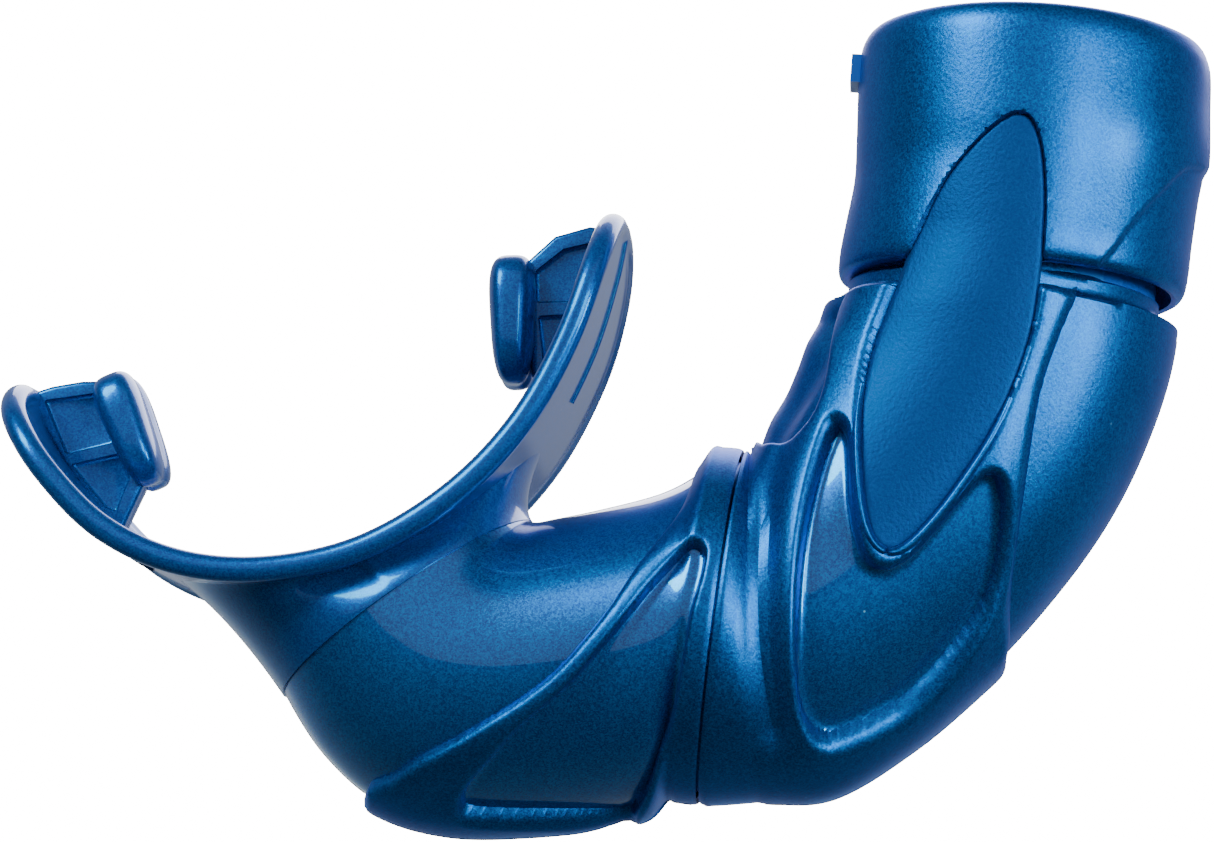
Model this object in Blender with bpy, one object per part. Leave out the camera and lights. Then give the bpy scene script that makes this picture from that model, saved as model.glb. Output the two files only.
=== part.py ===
"""Lower end of a snorkel: barrel collar and socket, moulded elbow, and a mouthpiece that swivels on it.

Blender script, metres, +Z up along the barrel, +X away from the mouth, and the part is mirrored about Y = 0.
The origin is the centre of the seat that the barrel stops on.
"""

import math

import bmesh
import bpy
from mathutils import Matrix, Vector

MM = 0.001  # the sizes below are in millimetres

# How finely round shapes are drawn
SIDES = 32
CURVE_STEPS = 4
SMOOTH_ANGLE = 35.0

# Clearances
GAP = 0.3
RUN_CLEARANCE = 0.3
PRISM_REACH = 60.0  # how far a side-to-side cutter reaches from the middle plane

# Barrel socket and its collar
BORE_R = 13.2
SOCKET_WALL = 2.8
SOCKET_TOP = 23.0
SEAT_WIDTH = 2.0
TAIL_LENGTH = 9.0
TAIL_STEP = 1.6
COLLAR_WALL = 3.2
COLLAR_TOP = 25.0
COLLAR_BOTTOM = -3.3
# Height, sideways shift and growth of the collar's slightly waisted outside
COLLAR_SHAPE = (
    (COLLAR_BOTTOM, -1.4, -0.6), (-1.0, -1.3, 0.0), (3.0, -0.9, -0.1), (8.0, -0.4, -0.2),
    (12.5, -0.2, 0.1), (20.0, -0.5, 0.1), (COLLAR_TOP - 2.2, -0.6, -0.1),
    (COLLAR_TOP - 0.6, -0.6, -0.9), (COLLAR_TOP, -0.5, -1.8),
)
SEAL_HEIGHT = 15.0
SEAL_SECTION_R = 1.3
SEAL_BITE = 0.9
TAB_HEIGHT = 20.5
TAB_SIZE = (3.2, 5.0)  # tall, wide
TAB_REACH = 1.5

# Elbow
COLLAR_STEP = 1.3  # how far the collar stands out past the tube
TUBE_R = BORE_R + SOCKET_WALL + GAP + COLLAR_WALL - COLLAR_STEP
SHELL_WALL = 2.4
NECK_DROP = 1.3  # how far the groove under the collar lies inside the shell
GROOVE_SHIFT = (-0.5, -0.9)  # sideways, at the groove's top and bottom
SHOULDER_Z = -6.2
SHOULDER_STEP = 0.1
SHOULDER_SHIFT = -1.9
SHOULDER_GROWTH = (0.6, -0.1)  # wider and deeper than the tube
LIP_RISE = 0.6
BEND_CENTRE = (-30.5, -5.0)
# Angle round the bend, distance of the middle, and how much wider and deeper than TUBE_R the shell is
BEND = (
    (2.0, 28.2, 1.2, 0.2),
    (20.0, 27.9, 1.1, 0.0),
    (40.0, 28.5, 1.3, -0.1),
    (55.0, 30.4, 1.6, -0.1),
    (66.0, 32.8, 2.0, 0.0),
    (76.0, 35.5, 2.2, 0.0),
    (82.0, 37.1, 0.5, -0.3),
    (84.5, 37.9, -0.6, -0.6),
)
FRAME_RISE = 1.2

# Swivel: its centre on the joint's axis, and the tilt of its rings from upright
SWIVEL_CENTRE = (-28.5, -43.0)
SWIVEL_TILT = 3.0
NECK_START = 1.3
LAP_START = 2.0
LAP_LENGTH = 3.0
TABLE_LAP = 3.0  # the lap that the mouthpiece's tables below are drawn for
SLEEVE_INSET = 6.0  # how far the sleeve reaches into the elbow
SLEEVE_STEP = 2.2
SLEEVE_WALL = 1.6
SPIGOT_WALL = 2.1
SPIGOT_FLANGE = 1.1
SPIGOT_TIP = 1.5
SPIGOT_TAPER = 0.5
SPIGOT_STEP = 0.5  # how far the spigot's flange stands out past the sleeve
RING_GROOVE = 0.9
RING_THICK = 0.9
RING_SPLIT = 3.0
RING_STEP = 0.6  # how far the ring stays inside the sleeve's outside
SPIGOT_SEAL_R = 0.65
SEAL_PLACE = -1.0
SEAL_ROOM = 0.25
SEAL_TOUCH = 0.1

# Mouthpiece bowl: middle, tilt, and how much wider and deeper than TUBE_R each station is
BOWL = (
    (-35.6, -44.9, 3.2, 0.1, -0.1),
    (-39.5, -46.7, 3.6, -0.4, -0.3),
    (-47.0, -48.6, 8.0, -0.5, -0.8),
    (-53.5, -49.6, 14.6, -0.4, -1.1),
    (-58.5, -49.1, 25.0, -0.4, -1.3),
    (-62.4, -46.8, 37.0, -1.0, -1.6),
    (-65.3, -43.4, 50.0, -1.7, -1.9),
)
# Soft neck from the bowl's end up into the lip flange
NECK = (
    (-65.7, -43.1, 50.2, -1.8, -2.0),
    (-67.4, -41.2, 54.5, -1.6, -2.9),
    (-69.6, -38.9, 60.0, -1.4, -3.9),
    (-72.6, -35.2, 66.0, 0.6, -4.4),
    (-75.0, -31.0, 70.0, 0.8, -4.6),
)
NECK_WALL = 2.6

# Lip flange: the line of its middle surface in plan, left tip to right tip
FLANGE_LINE = (
    (-110.5, -22.0),
    (-108.4, -27.2),
    (-103.3, -33.6),
    (-96.5, -39.2),
    (-88.0, -42.2),
    (-78.5, -42.2),
    (-68.5, -39.2),
    (-59.5, -32.8),
    (-52.8, -24.5),
    (-48.4, -14.5),
    (-46.2, -5.0),
    (-45.5, 2.0),
)
FLANGE_THICK = 2.0
FLANGE_HALF_HEIGHT = 18.0
FLANGE_TIP_LENGTH = 14.0
TIP_POWER = 2.6  # how square the flange's tips are
TIP_SHARE = 0.93  # how much of the height the rounding takes off
FLANGE_ROWS = 8
FLANGE_STEPS = 3
MOUTH_CENTRE = (-70.5, -39.0)
MOUTH_TILT = 60.0
MOUTH_HALF = (11.5, 9.0)  # along the flange's line, and across it
MOUTH_REACH = 12.0  # how far the airway's cutter reaches past the flange

# Bite wings and their pads
WING_THICK = 3.0
PAD_THICK = 3.8
PAD_HALF_DEPTH = 6.0
PAD_ROUNDING = 0.36  # share of its thickness
# Each wing starts and ends beyond the flange, which trims it. Its free edge runs from point 3 to point 4
LEFT_WING = ((-111.6, -23.4), (-105.6, -21.6), (-101.0, -20.6), (-95.6, -32.0), (-97.6, -38.5))
RIGHT_WING = ((-46.0, 0.8), (-52.2, -0.7), (-55.6, -4.0), (-53.8, -17.2), (-49.5, -19.0))

# Outlines of the relief, as seen from the side
PLATE_OUTLINE = (
    (-2.3, 12.2), (-6.6, 9.0), (-11.2, 2.6), (-14.3, -7.5), (-16.5, -17.0), (-16.3, -26.0),
    (-14.9, -33.4), (-12.4, -35.4), (-8.6, -32.0), (-3.9, -24.0), (-0.2, -14.5), (1.2, -5.0),
    (0.9, 4.0), (-0.5, 10.0),
)
ELBOW_FRAME_OUTLINE = (
    (-18.6, -6.6), (-20.4, -9.0), (-20.6, -15.0), (-21.7, -21.5), (-24.5, -24.0), (-31.5, -22.5),
    (-29.0, -45.0), (-24.0, -68.0), (-5.0, -66.0), (0.4, -46.0), (0.9, -38.0), (1.5, -28.0),
    (2.4, -17.5), (4.4, -10.0), (5.4, -6.6),
)
V_WINDOW_OUTLINE = (
    (-19.2, -22.0), (-20.8, -27.0), (-21.8, -34.0), (-21.8, -42.0), (-21.2, -50.0), (-18.9, -54.6),
    (-14.8, -54.0), (-9.4, -50.2), (-4.6, -44.0), (-1.8, -39.0), (-0.8, -32.0), (-1.8, -26.0),
    (-5.0, -27.4), (-8.8, -32.6), (-12.4, -36.0), (-15.0, -34.0), (-16.8, -28.5), (-17.6, -23.2),
)
MOUTH_FRAME_OUTLINE = (
    (-34.0, -20.0), (-34.4, -28.5), (-36.6, -35.0), (-41.0, -42.8), (-46.4, -50.4), (-53.4, -56.2),
    (-61.0, -60.8), (-68.5, -65.0), (-69.0, -75.0), (-45.0, -75.0), (-20.0, -75.0), (-20.0, -20.0),
)
TRIANGLE_OUTLINE = (
    (-32.6, -36.2), (-35.2, -37.8), (-39.9, -44.8), (-45.0, -51.6), (-50.4, -56.8), (-56.0, -63.4),
    (-55.6, -65.4), (-47.0, -65.2), (-38.4, -63.9), (-36.0, -61.2), (-34.2, -55.2), (-33.0, -47.0),
    (-32.2, -40.0),
)
PLATE_THICK = 0.9
PLATE_RECESS = 0.6
PLATE_SHIFT = -0.6
PLATE_HEIGHTS = (16.0, 4.0)  # where the plate's face follows the collar
PLATE_SPAN = slice(1, 10)  # sections of the bend that the plate covers
BEZEL_WIDTH = 1.1
BEZEL_RISE = 1.6
BEZEL_TOP = -8.0


# ---------------------------------------------------------------- materials


def material(name, colour, roughness, metallic):
    made = bpy.data.materials.new(name)
    made.use_nodes = True
    shader = made.node_tree.nodes["Principled BSDF"]
    shader.inputs["Base Color"].default_value = (*colour, 1.0)
    shader.inputs["Roughness"].default_value = roughness
    shader.inputs["Metallic"].default_value = metallic
    made.diffuse_color = (*colour, 1.0)
    return made


def make_materials():
    return {
        "gloss": material("gloss_blue", (0.008, 0.11, 0.33), 0.2, 0.6),
        "matte": material("matte_blue", (0.02, 0.16, 0.4), 0.42, 0.55),
        "plate": material("plate_blue", (0.03, 0.14, 0.3), 0.5, 0.4),
        "soft": material("soft_blue", (0.006, 0.09, 0.3), 0.32, 0.35),
        "raw": material("raw_blue", (0.0, 0.17, 0.58), 0.4, 0.0),
        "seal": material("seal_black", (0.01, 0.01, 0.012), 0.6, 0.0),
        "ring": material("ring_white", (0.7, 0.72, 0.74), 0.4, 0.0),
    }


# ---------------------------------------------------------------- curves and stations


def along(points, steps=CURVE_STEPS, closed=False):
    """Points on one smooth curve through the given ones."""
    count = len(points)
    spans = count if closed else count - 1

    def at(i):
        return Vector(points[i % count] if closed else points[min(max(i, 0), count - 1)])

    out = []
    for i in range(spans):
        before, start, end, after = at(i - 1), at(i), at(i + 1), at(i + 2)
        for k in range(steps):
            t = k / steps
            out.append(0.5 * (
                2 * start + (end - before) * t
                + (2 * before - 5 * start + 4 * end - after) * t * t
                + (3 * start - before - 3 * end + after) * t**3
            ))
    if not closed:
        out.append(at(count - 1))
    return out


def grown(outline, distance):
    """A closed outline moved outwards by a distance."""
    points = [Vector(p) for p in outline]
    area = sum(a.x * b.y - b.x * a.y for a, b in zip(points, points[1:] + points[:1]))
    side = 1 if area > 0 else -1
    out = []
    for i, point in enumerate(points):
        run = (points[(i + 1) % len(points)] - points[i - 1]).normalized()
        out.append(point + Vector((run.y, -run.x)) * side * distance)
    return out


def station(x, z, tilt, half_width, half_depth):
    """A section of a tube: its middle, its direction across, and its two half sizes."""
    angle = math.radians(tilt)
    return (Vector((x, 0, z)), Vector((-math.sin(angle), 0, -math.cos(angle))), half_width, half_depth)


def bend_stations():
    out = []
    for angle, distance, wider, deeper in along(BEND, 2):
        turn = math.radians(angle)
        x = BEND_CENTRE[0] + distance * math.cos(turn)
        z = BEND_CENTRE[1] - distance * math.sin(turn)
        out.append(station(x, z, angle - 90, TUBE_R + wider, TUBE_R + deeper))
    return out


def swivel_station(distance, radius):
    """A round section at a distance along the swivel's axis, towards the mouth."""
    tilt = math.radians(SWIVEL_TILT)
    x = SWIVEL_CENTRE[0] - distance * math.cos(tilt)
    z = SWIVEL_CENTRE[1] + distance * math.sin(tilt)
    return station(x, z, SWIVEL_TILT, radius, radius)


def mouth_stations(table, steps=2):
    shift = TABLE_LAP - LAP_LENGTH
    return [station(x + shift, z, tilt, TUBE_R + w, TUBE_R + d) for x, z, tilt, w, d in along(table, steps)]


def moved(stations, offset):
    return [(middle, across, w + offset, d + offset) for middle, across, w, d in stations]


# ---------------------------------------------------------------- mesh builders


def mesh_object(name, bm, finish):
    bmesh.ops.recalc_face_normals(bm, faces=bm.faces)
    bmesh.ops.scale(bm, vec=(MM, MM, MM), verts=bm.verts)
    mesh = bpy.data.meshes.new(name)
    bm.to_mesh(mesh)
    bm.free()
    made = bpy.data.objects.new(name, mesh)
    bpy.context.scene.collection.objects.link(made)
    if finish:
        mesh.materials.append(finish)
        mesh.shade_smooth()
        mesh.set_sharp_from_angle(angle=math.radians(SMOOTH_ANGLE))
    else:
        made.hide_render = True
        made.display_type = "WIRE"
    return made


def ring_of(bm, section):
    middle, across, half_width, half_depth = section
    out = []
    for i in range(SIDES):
        turn = 2 * math.pi * i / SIDES
        point = middle + across * half_width * math.cos(turn)
        out.append(bm.verts.new(point + Vector((0, half_depth * math.sin(turn), 0))))
    return out


def tube(name, outer, inner, finish=None):
    """A tube's wall as one closed body: up the outer sections and back down the inner ones."""
    bm = bmesh.new()
    rings = [ring_of(bm, section) for section in [*outer, *reversed(inner)]]
    for one, two in zip(rings, rings[1:] + rings[:1]):
        for i in range(SIDES):
            j = (i + 1) % SIDES
            bm.faces.new((one[i], one[j], two[j], two[i]))
    return mesh_object(name, bm, finish)


def rod(name, sections, finish=None):
    """A solid bar through the sections."""
    bm = bmesh.new()
    rings = [ring_of(bm, section) for section in sections]
    for one, two in zip(rings, rings[1:]):
        for i in range(SIDES):
            j = (i + 1) % SIDES
            bm.faces.new((one[i], one[j], two[j], two[i]))
    bm.faces.new(rings[0])
    bm.faces.new(reversed(rings[-1]))
    return mesh_object(name, bm, finish)


def prism(name, outline, low=-PRISM_REACH, high=PRISM_REACH, finish=None):
    """A flat outline in X and Z, extruded from one Y to another."""
    bm = bmesh.new()
    face = bm.faces.new([bm.verts.new((p[0], low, p[1])) for p in outline])
    made = bmesh.ops.extrude_face_region(bm, geom=[face])["geom"]
    bmesh.ops.translate(
        bm, vec=(0, high - low, 0), verts=[v for v in made if isinstance(v, bmesh.types.BMVert)]
    )
    return mesh_object(name, bm, finish)


def block(name, low, high):
    bm = bmesh.new()
    bmesh.ops.create_cube(bm, size=1.0)
    low, high = Vector(low), Vector(high)
    bmesh.ops.scale(bm, vec=high - low, verts=bm.verts)
    bmesh.ops.translate(bm, vec=(low + high) / 2, verts=bm.verts)
    return mesh_object(name, bm, None)


def boolean(made, other, operation="DIFFERENCE"):
    step = made.modifiers.new(other.name, "BOOLEAN")
    step.operation = operation
    step.object = other


def upright(radius_heights):
    """Round sections on the barrel's axis from (height, radius) pairs."""
    return [(Vector((0, 0, z)), Vector((1, 0, 0)), r, r) for z, r in radius_heights]


def on_swivel(distance_radii):
    return [swivel_station(distance, radius) for distance, radius in distance_radii]


def o_ring(name, middle, section_r, place, finish):
    """A ring of round section: `place` turns (height, radius) pairs into sections."""
    height, radius = middle
    outer, inner = [], []
    for i in range(5):
        turn = math.pi * i / 4
        z, reach = height - section_r * math.cos(turn), section_r * math.sin(turn)
        outer.append((z, radius + reach))
        if 0 < i < 4:
            inner.append((z, radius - reach))
    return tube(name, place(outer), place(inner), finish)


# ---------------------------------------------------------------- barrel socket


def socket_outer():
    return BORE_R + SOCKET_WALL


def collar_outer():
    return socket_outer() + GAP + COLLAR_WALL


def collar_stations():
    return [
        (Vector((x, 0, z)), Vector((1, 0, 0)), collar_outer() + more, collar_outer() + more)
        for z, x, more in COLLAR_SHAPE
    ]


def make_barrel_socket(finish):
    """Rigid sleeve: the barrel drops in from the top and stops on the seat at Z = 0."""
    outer, tail = socket_outer(), socket_outer() - TAIL_STEP
    gland_r = BORE_R - SEAL_BITE + 2 * SEAL_SECTION_R + GAP
    gland_half = SEAL_SECTION_R + GAP
    outside = [(-TAIL_LENGTH, tail), (0.0, tail), (0.0, outer), (SOCKET_TOP, outer)]
    inside = [
        (-TAIL_LENGTH, BORE_R - SEAT_WIDTH), (0.0, BORE_R - SEAT_WIDTH), (0.0, BORE_R),
        (SEAL_HEIGHT - gland_half, BORE_R), (SEAL_HEIGHT - gland_half, gland_r),
        (SEAL_HEIGHT + gland_half, gland_r), (SEAL_HEIGHT + gland_half, BORE_R), (SOCKET_TOP, BORE_R),
    ]
    made = tube("barrel_socket", upright(outside), upright(inside), finish)
    tall, wide = TAB_SIZE
    reach = collar_outer() + TAB_REACH
    tab = block(
        "tab_shape", (-reach, -wide / 2, TAB_HEIGHT - tall / 2),
        (-(BORE_R + SOCKET_WALL / 2), wide / 2, TAB_HEIGHT + tall / 2),
    )
    boolean(made, tab, "UNION")
    return made


def make_barrel_collar(finish, plate_cut):
    inner = upright([(COLLAR_BOTTOM, socket_outer() + GAP), (COLLAR_TOP, socket_outer() + GAP)])
    made = tube("barrel_collar", collar_stations(), inner, finish)
    tall, wide = TAB_SIZE
    slot = block(
        "tab_slot", (-collar_outer() - 2 * COLLAR_WALL, -wide / 2 - GAP, TAB_HEIGHT - tall / 2 - GAP),
        (-BORE_R, wide / 2 + GAP, TAB_HEIGHT + tall / 2 + GAP),
    )
    boolean(made, slot)
    boolean(made, plate_cut)
    return made


def make_barrel_seal(finish):
    radius = BORE_R - SEAL_BITE + SEAL_SECTION_R
    return o_ring("barrel_seal", (SEAL_HEIGHT, radius), SEAL_SECTION_R, upright, finish)


# ---------------------------------------------------------------- elbow


def throat_sections():
    """The groove under the collar and the shoulder below it."""
    groove = TUBE_R - NECK_DROP
    wider, deeper = SHOULDER_GROWTH
    rows = (
        (GROOVE_SHIFT[0], COLLAR_BOTTOM - GAP, groove, groove),
        (GROOVE_SHIFT[1], SHOULDER_Z + SHOULDER_STEP, groove, groove),
        (SHOULDER_SHIFT, SHOULDER_Z, TUBE_R + wider, TUBE_R + deeper),
    )
    return [(Vector((x, 0, z)), Vector((1, 0, 0)), wide, deep) for x, z, wide, deep in rows]


def make_elbow_shell(finish):
    """Glossy curved tube. Its top hides inside the collar, and its end is the neck that the mouthpiece laps."""
    bend = bend_stations()
    top = upright([(-GAP, socket_outer()), (COLLAR_BOTTOM - GAP, socket_outer())])
    end = on_swivel([(NECK_START, TUBE_R), (lap_end(), TUBE_R)])
    lip = moved(bend[-1:], LIP_RISE)
    outer = [*top, *throat_sections(), *bend[1:], *lip, *end]
    bore = socket_outer() - TAIL_STEP + GAP
    inner_bend = moved(bend[2::2], -SHELL_WALL)
    inner_end = on_swivel([(NECK_START, neck_bore()), (lap_end(), neck_bore())])
    inner = [*upright([(-GAP, bore), (-TAIL_LENGTH - 2 * GAP, bore)]), *inner_bend, *inner_end]
    return tube("elbow_shell", outer, inner, finish)


def make_elbow_frame(finish, window_cut, plate_clear):
    """Matte ribs over the elbow, one piece that wraps under the bend from side to side."""
    bend = bend_stations()
    made = tube("elbow_frame", moved(bend, GAP + FRAME_RISE), moved(bend, GAP), finish)
    boolean(made, prism("elbow_frame_shape", ELBOW_FRAME_OUTLINE), "INTERSECT")
    boolean(made, window_cut)
    boolean(made, plate_clear)
    return made


def plate_carrier(collar_radius, heights, elbow, offset):
    """Sections along the collar first, then along the elbow."""
    on_collar = [
        (Vector((PLATE_SHIFT, 0, z)), Vector((1, 0, 0)), collar_radius, collar_radius) for z in heights
    ]
    return [*on_collar, *moved(elbow, offset)]


def make_plate(side, outline, finish):
    """Lens-shaped plate. It sits in the collar's notch and on the elbow, on one side."""
    name = "name_plate_" + side
    elbow = bend_stations()[PLATE_SPAN]
    throat = throat_sections()
    outer = plate_carrier(
        collar_outer() - PLATE_RECESS, (*PLATE_HEIGHTS, COLLAR_BOTTOM), [throat[2], *elbow], GAP + PLATE_THICK
    )
    heights = (PLATE_HEIGHTS[0], COLLAR_BOTTOM)
    inner = plate_carrier(socket_outer() + GAP, heights, [*throat, *elbow], GAP)
    made = tube(name, outer, inner, finish)
    boolean(made, prism(name + "_shape", outline, *side_reach(side)), "INTERSECT")
    return made


def side_reach(side):
    return (-PRISM_REACH, 0.0) if side == "front" else (0.0, PRISM_REACH)


def make_bezel(side, outline, finish):
    """Raised rim round the lower half of a plate."""
    name = "plate_bezel_" + side
    bend = bend_stations()
    made = tube(name, moved(bend, GAP + BEZEL_RISE), moved(bend, GAP), finish)
    low, high = side_reach(side)
    shape = prism(name + "_shape", grown(outline, GAP + BEZEL_WIDTH), low, high)
    boolean(made, shape, "INTERSECT")
    boolean(made, prism(name + "_hole", grown(outline, GAP)))
    boolean(made, block(name + "_top", (-PRISM_REACH, low, BEZEL_TOP), (PRISM_REACH, high, PRISM_REACH)))
    return made


# ---------------------------------------------------------------- swivel


def neck_bore():
    return TUBE_R - SHELL_WALL


def sleeve_outer():
    return neck_bore() - SLEEVE_STEP


def sleeve_bore():
    return sleeve_outer() - SLEEVE_WALL


def spigot_outer():
    return sleeve_bore() - RUN_CLEARANCE


def spigot_bore():
    return spigot_outer() - SPIGOT_WALL


def lap_end():
    return LAP_START + LAP_LENGTH


def bowl_start():
    return lap_end() + GAP


def make_sleeve(finish):
    """Bearing sleeve fixed in the elbow's neck. The mouthpiece's spigot turns in it."""
    outer = on_swivel([
        (-SLEEVE_INSET, sleeve_outer()), (NECK_START + GAP, sleeve_outer()),
        (NECK_START + GAP, neck_bore() - GAP), (lap_end() - GAP, neck_bore() - GAP),
    ])
    inner = on_swivel([(-SLEEVE_INSET, sleeve_bore()), (lap_end() - GAP, sleeve_bore())])
    return tube("swivel_sleeve", outer, inner, finish)


def ring_groove():
    """Start and end of the snap ring's groove, on the spigot's inner end."""
    end = -SLEEVE_INSET - GAP
    return end - RING_THICK - GAP, end


def make_spigot(finish):
    """Male half of the swivel: its flange is fixed in the bowl's end, and its tube reaches into the elbow."""
    groove_start, groove_end = ring_groove()
    half = SPIGOT_SEAL_R + SEAL_ROOM
    outside, bore = spigot_outer(), spigot_bore()
    floor = sleeve_bore() - 2 * SPIGOT_SEAL_R - 2 * SEAL_TOUCH
    flange_end = bowl_start() + SPIGOT_FLANGE
    outer = on_swivel([
        (groove_start - SPIGOT_TIP, outside - SPIGOT_TAPER), (groove_start, outside),
        (groove_start, outside - RING_GROOVE), (groove_end, outside - RING_GROOVE),
        (groove_end, outside), (SEAL_PLACE - half, outside), (SEAL_PLACE - half, floor),
        (SEAL_PLACE + half, floor), (SEAL_PLACE + half, outside), (bowl_start() - GAP / 2, outside),
        (bowl_start() - GAP / 2, sleeve_outer() + SPIGOT_STEP), (flange_end, sleeve_outer() + SPIGOT_STEP),
    ])
    inner = on_swivel([(groove_start - SPIGOT_TIP, bore), (flange_end, bore)])
    return tube("swivel_spigot", outer, inner, finish)


def make_spigot_seal(finish):
    radius = sleeve_bore() - SEAL_TOUCH - SPIGOT_SEAL_R
    return o_ring("spigot_seal", (SEAL_PLACE, radius), SPIGOT_SEAL_R, on_swivel, finish)


def make_retaining_ring(finish):
    """Snap ring in the spigot's groove, with its gap at the bottom."""
    start = ring_groove()[0] + GAP / 2
    high, low = sleeve_outer() - RING_STEP, spigot_outer() - RING_GROOVE + GAP / 2
    outer = on_swivel([(start, high), (start + RING_THICK, high)])
    inner = on_swivel([(start, low), (start + RING_THICK, low)])
    made = tube("retaining_ring", outer, inner, finish)
    x, z = SWIVEL_CENTRE
    half, reach = RING_SPLIT / 2, 2 * TUBE_R
    boolean(made, block("ring_split", (x, -half, z - reach), (x + reach, half, z)))
    return made


# ---------------------------------------------------------------- mouthpiece


def make_mouthpiece_shell(finish):
    bowl = mouth_stations(BOWL)
    outer = [swivel_station(bowl_start(), TUBE_R), *bowl]
    inner = [swivel_station(bowl_start(), neck_bore()), *moved(bowl[::2], -SHELL_WALL)]
    return tube("mouthpiece_shell", outer, inner, finish)


def make_mouthpiece_frame(finish):
    """Matte A-shaped ribs. The right leg is the collar that laps the elbow's neck and turns on it."""
    bowl = mouth_stations(BOWL)
    lap = on_swivel([(LAP_START, TUBE_R), (bowl_start(), TUBE_R)])
    rise = GAP + FRAME_RISE
    made = tube("mouthpiece_frame", moved([*lap, *bowl], rise), moved([*lap, *bowl], GAP), finish)
    boolean(made, prism("mouth_frame_shape", MOUTH_FRAME_OUTLINE), "INTERSECT")
    boolean(made, prism("triangle_shape", along(TRIANGLE_OUTLINE, 2, closed=True)))
    return made


def flange_frames():
    """Point and outward normal at each step of the flange's line."""
    line = along(FLANGE_LINE, FLANGE_STEPS)
    out = []
    for i, point in enumerate(line):
        run = (line[min(i + 1, len(line) - 1)] - line[max(i - 1, 0)]).normalized()
        out.append((point, Vector((run.y, -run.x))))
    return out


def flange_half_height(distance, length):
    """Full height along the middle, rounded off towards each tip."""
    from_tip = min(distance, length - distance)
    if from_tip >= FLANGE_TIP_LENGTH:
        return FLANGE_HALF_HEIGHT
    share = 1 - from_tip / FLANGE_TIP_LENGTH
    return FLANGE_HALF_HEIGHT * (1 - TIP_SHARE * share**TIP_POWER) ** (1 / TIP_POWER)


def make_lip_flange(finish):
    """Curved sheet with an oval airway hole."""
    frames = flange_frames()
    steps = [(b[0] - a[0]).length for a, b in zip(frames, frames[1:])]
    length = sum(steps)
    bm = bmesh.new()
    rows = FLANGE_ROWS
    grid = {}
    travelled = 0.0
    for i, (point, normal) in enumerate(frames):
        half = flange_half_height(travelled, length)
        for side in (-1, 1):
            x, z = point + normal * side * FLANGE_THICK / 2
            for j in range(rows + 1):
                grid[i, j, side] = bm.verts.new((x, half * (2 * j / rows - 1), z))
        travelled += steps[i] if i < len(steps) else 0.0
    last = len(frames) - 1
    for i in range(last):
        for side in (-1, 1):
            for j in range(rows):
                bm.faces.new([grid[i, j, side], grid[i + 1, j, side],
                              grid[i + 1, j + 1, side], grid[i, j + 1, side]])
        for j in (0, rows):
            bm.faces.new([grid[i, j, -1], grid[i + 1, j, -1], grid[i + 1, j, 1], grid[i, j, 1]])
    for i in (0, last):
        for j in range(rows):
            bm.faces.new([grid[i, j, -1], grid[i, j + 1, -1], grid[i, j + 1, 1], grid[i, j, 1]])
    made = mesh_object("lip_flange", bm, finish)
    x, z = MOUTH_CENTRE
    tilt = math.radians(MOUTH_TILT)
    out = Vector((-math.cos(tilt), math.sin(tilt)))
    ends = [(x + out.x * d, z + out.y * d) for d in (-MOUTH_REACH, MOUTH_REACH)]
    hole = rod("mouth_hole", [station(*end, MOUTH_TILT, *MOUTH_HALF) for end in ends])
    boolean(made, hole)
    return made


def flange_side(offset, frames):
    return [point + normal * offset for point, normal in frames]


def make_mouth_neck(finish):
    """Soft cuff from the bowl to the flange. It is trimmed to the flange's outer face."""
    neck = mouth_stations(NECK, 1)
    made = tube("mouth_neck", neck, moved(neck, -NECK_WALL), finish)
    face = flange_side(FLANGE_THICK / 2 + GAP, flange_frames())
    lid = [(PRISM_REACH, PRISM_REACH), (-3 * PRISM_REACH, PRISM_REACH)]
    boolean(made, prism("flange_side_cut", [*face, *lid]))
    return made


def make_wing(side, outline, finish):
    """Bite plate in the middle plane, trimmed to the flange's inner face."""
    name = "bite_wing_" + side
    made = prism(name, outline, -WING_THICK / 2, WING_THICK / 2, finish)
    frames = flange_frames()
    inner = flange_side(-FLANGE_THICK / 2 - GAP, frames)
    outer = flange_side(3 * FLANGE_THICK, frames)
    boolean(made, prism(name + "_cut", [*inner, *reversed(outer)]))
    return made


def make_pad(side, wing, finish):
    """Rounded bar along the wing's free edge, standing out on both faces."""
    top, bottom = Vector(wing[2]), Vector(wing[3])
    middle, run = (top + bottom) / 2, (bottom - top)
    away = Vector((-run.y, run.x)).normalized()
    if away.dot(middle - Vector(wing[0])) < 0:
        away = -away
    middle += away * (PAD_THICK / 2 + GAP)
    bm = bmesh.new()
    bmesh.ops.create_cube(bm, size=1.0)
    bmesh.ops.scale(bm, vec=(PAD_THICK, 2 * PAD_HALF_DEPTH, run.length), verts=bm.verts)
    offset = PAD_THICK * PAD_ROUNDING
    bmesh.ops.bevel(bm, geom=list(bm.edges), offset=offset, segments=2, affect="EDGES", profile=0.5)
    turn = Matrix.Rotation(math.atan2(-run.x, -run.y), 4, "Y")
    bmesh.ops.transform(bm, matrix=turn, verts=bm.verts)
    bmesh.ops.translate(bm, vec=(middle.x, 0, middle.y), verts=bm.verts)
    return mesh_object("bite_pad_" + side, bm, finish)


# ---------------------------------------------------------------- assembly


def swivel_empty():
    """The swivel's joint: the mouthpiece's pieces hang on it, with +X along the axis."""
    made = bpy.data.objects.new("mouthpiece_swivel", None)
    x, z = SWIVEL_CENTRE
    turn = Matrix.Rotation(math.radians(SWIVEL_TILT), 4, "Y")
    made.matrix_world = Matrix.Translation((x * MM, 0, z * MM)) @ turn
    bpy.context.scene.collection.objects.link(made)
    return made


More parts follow.
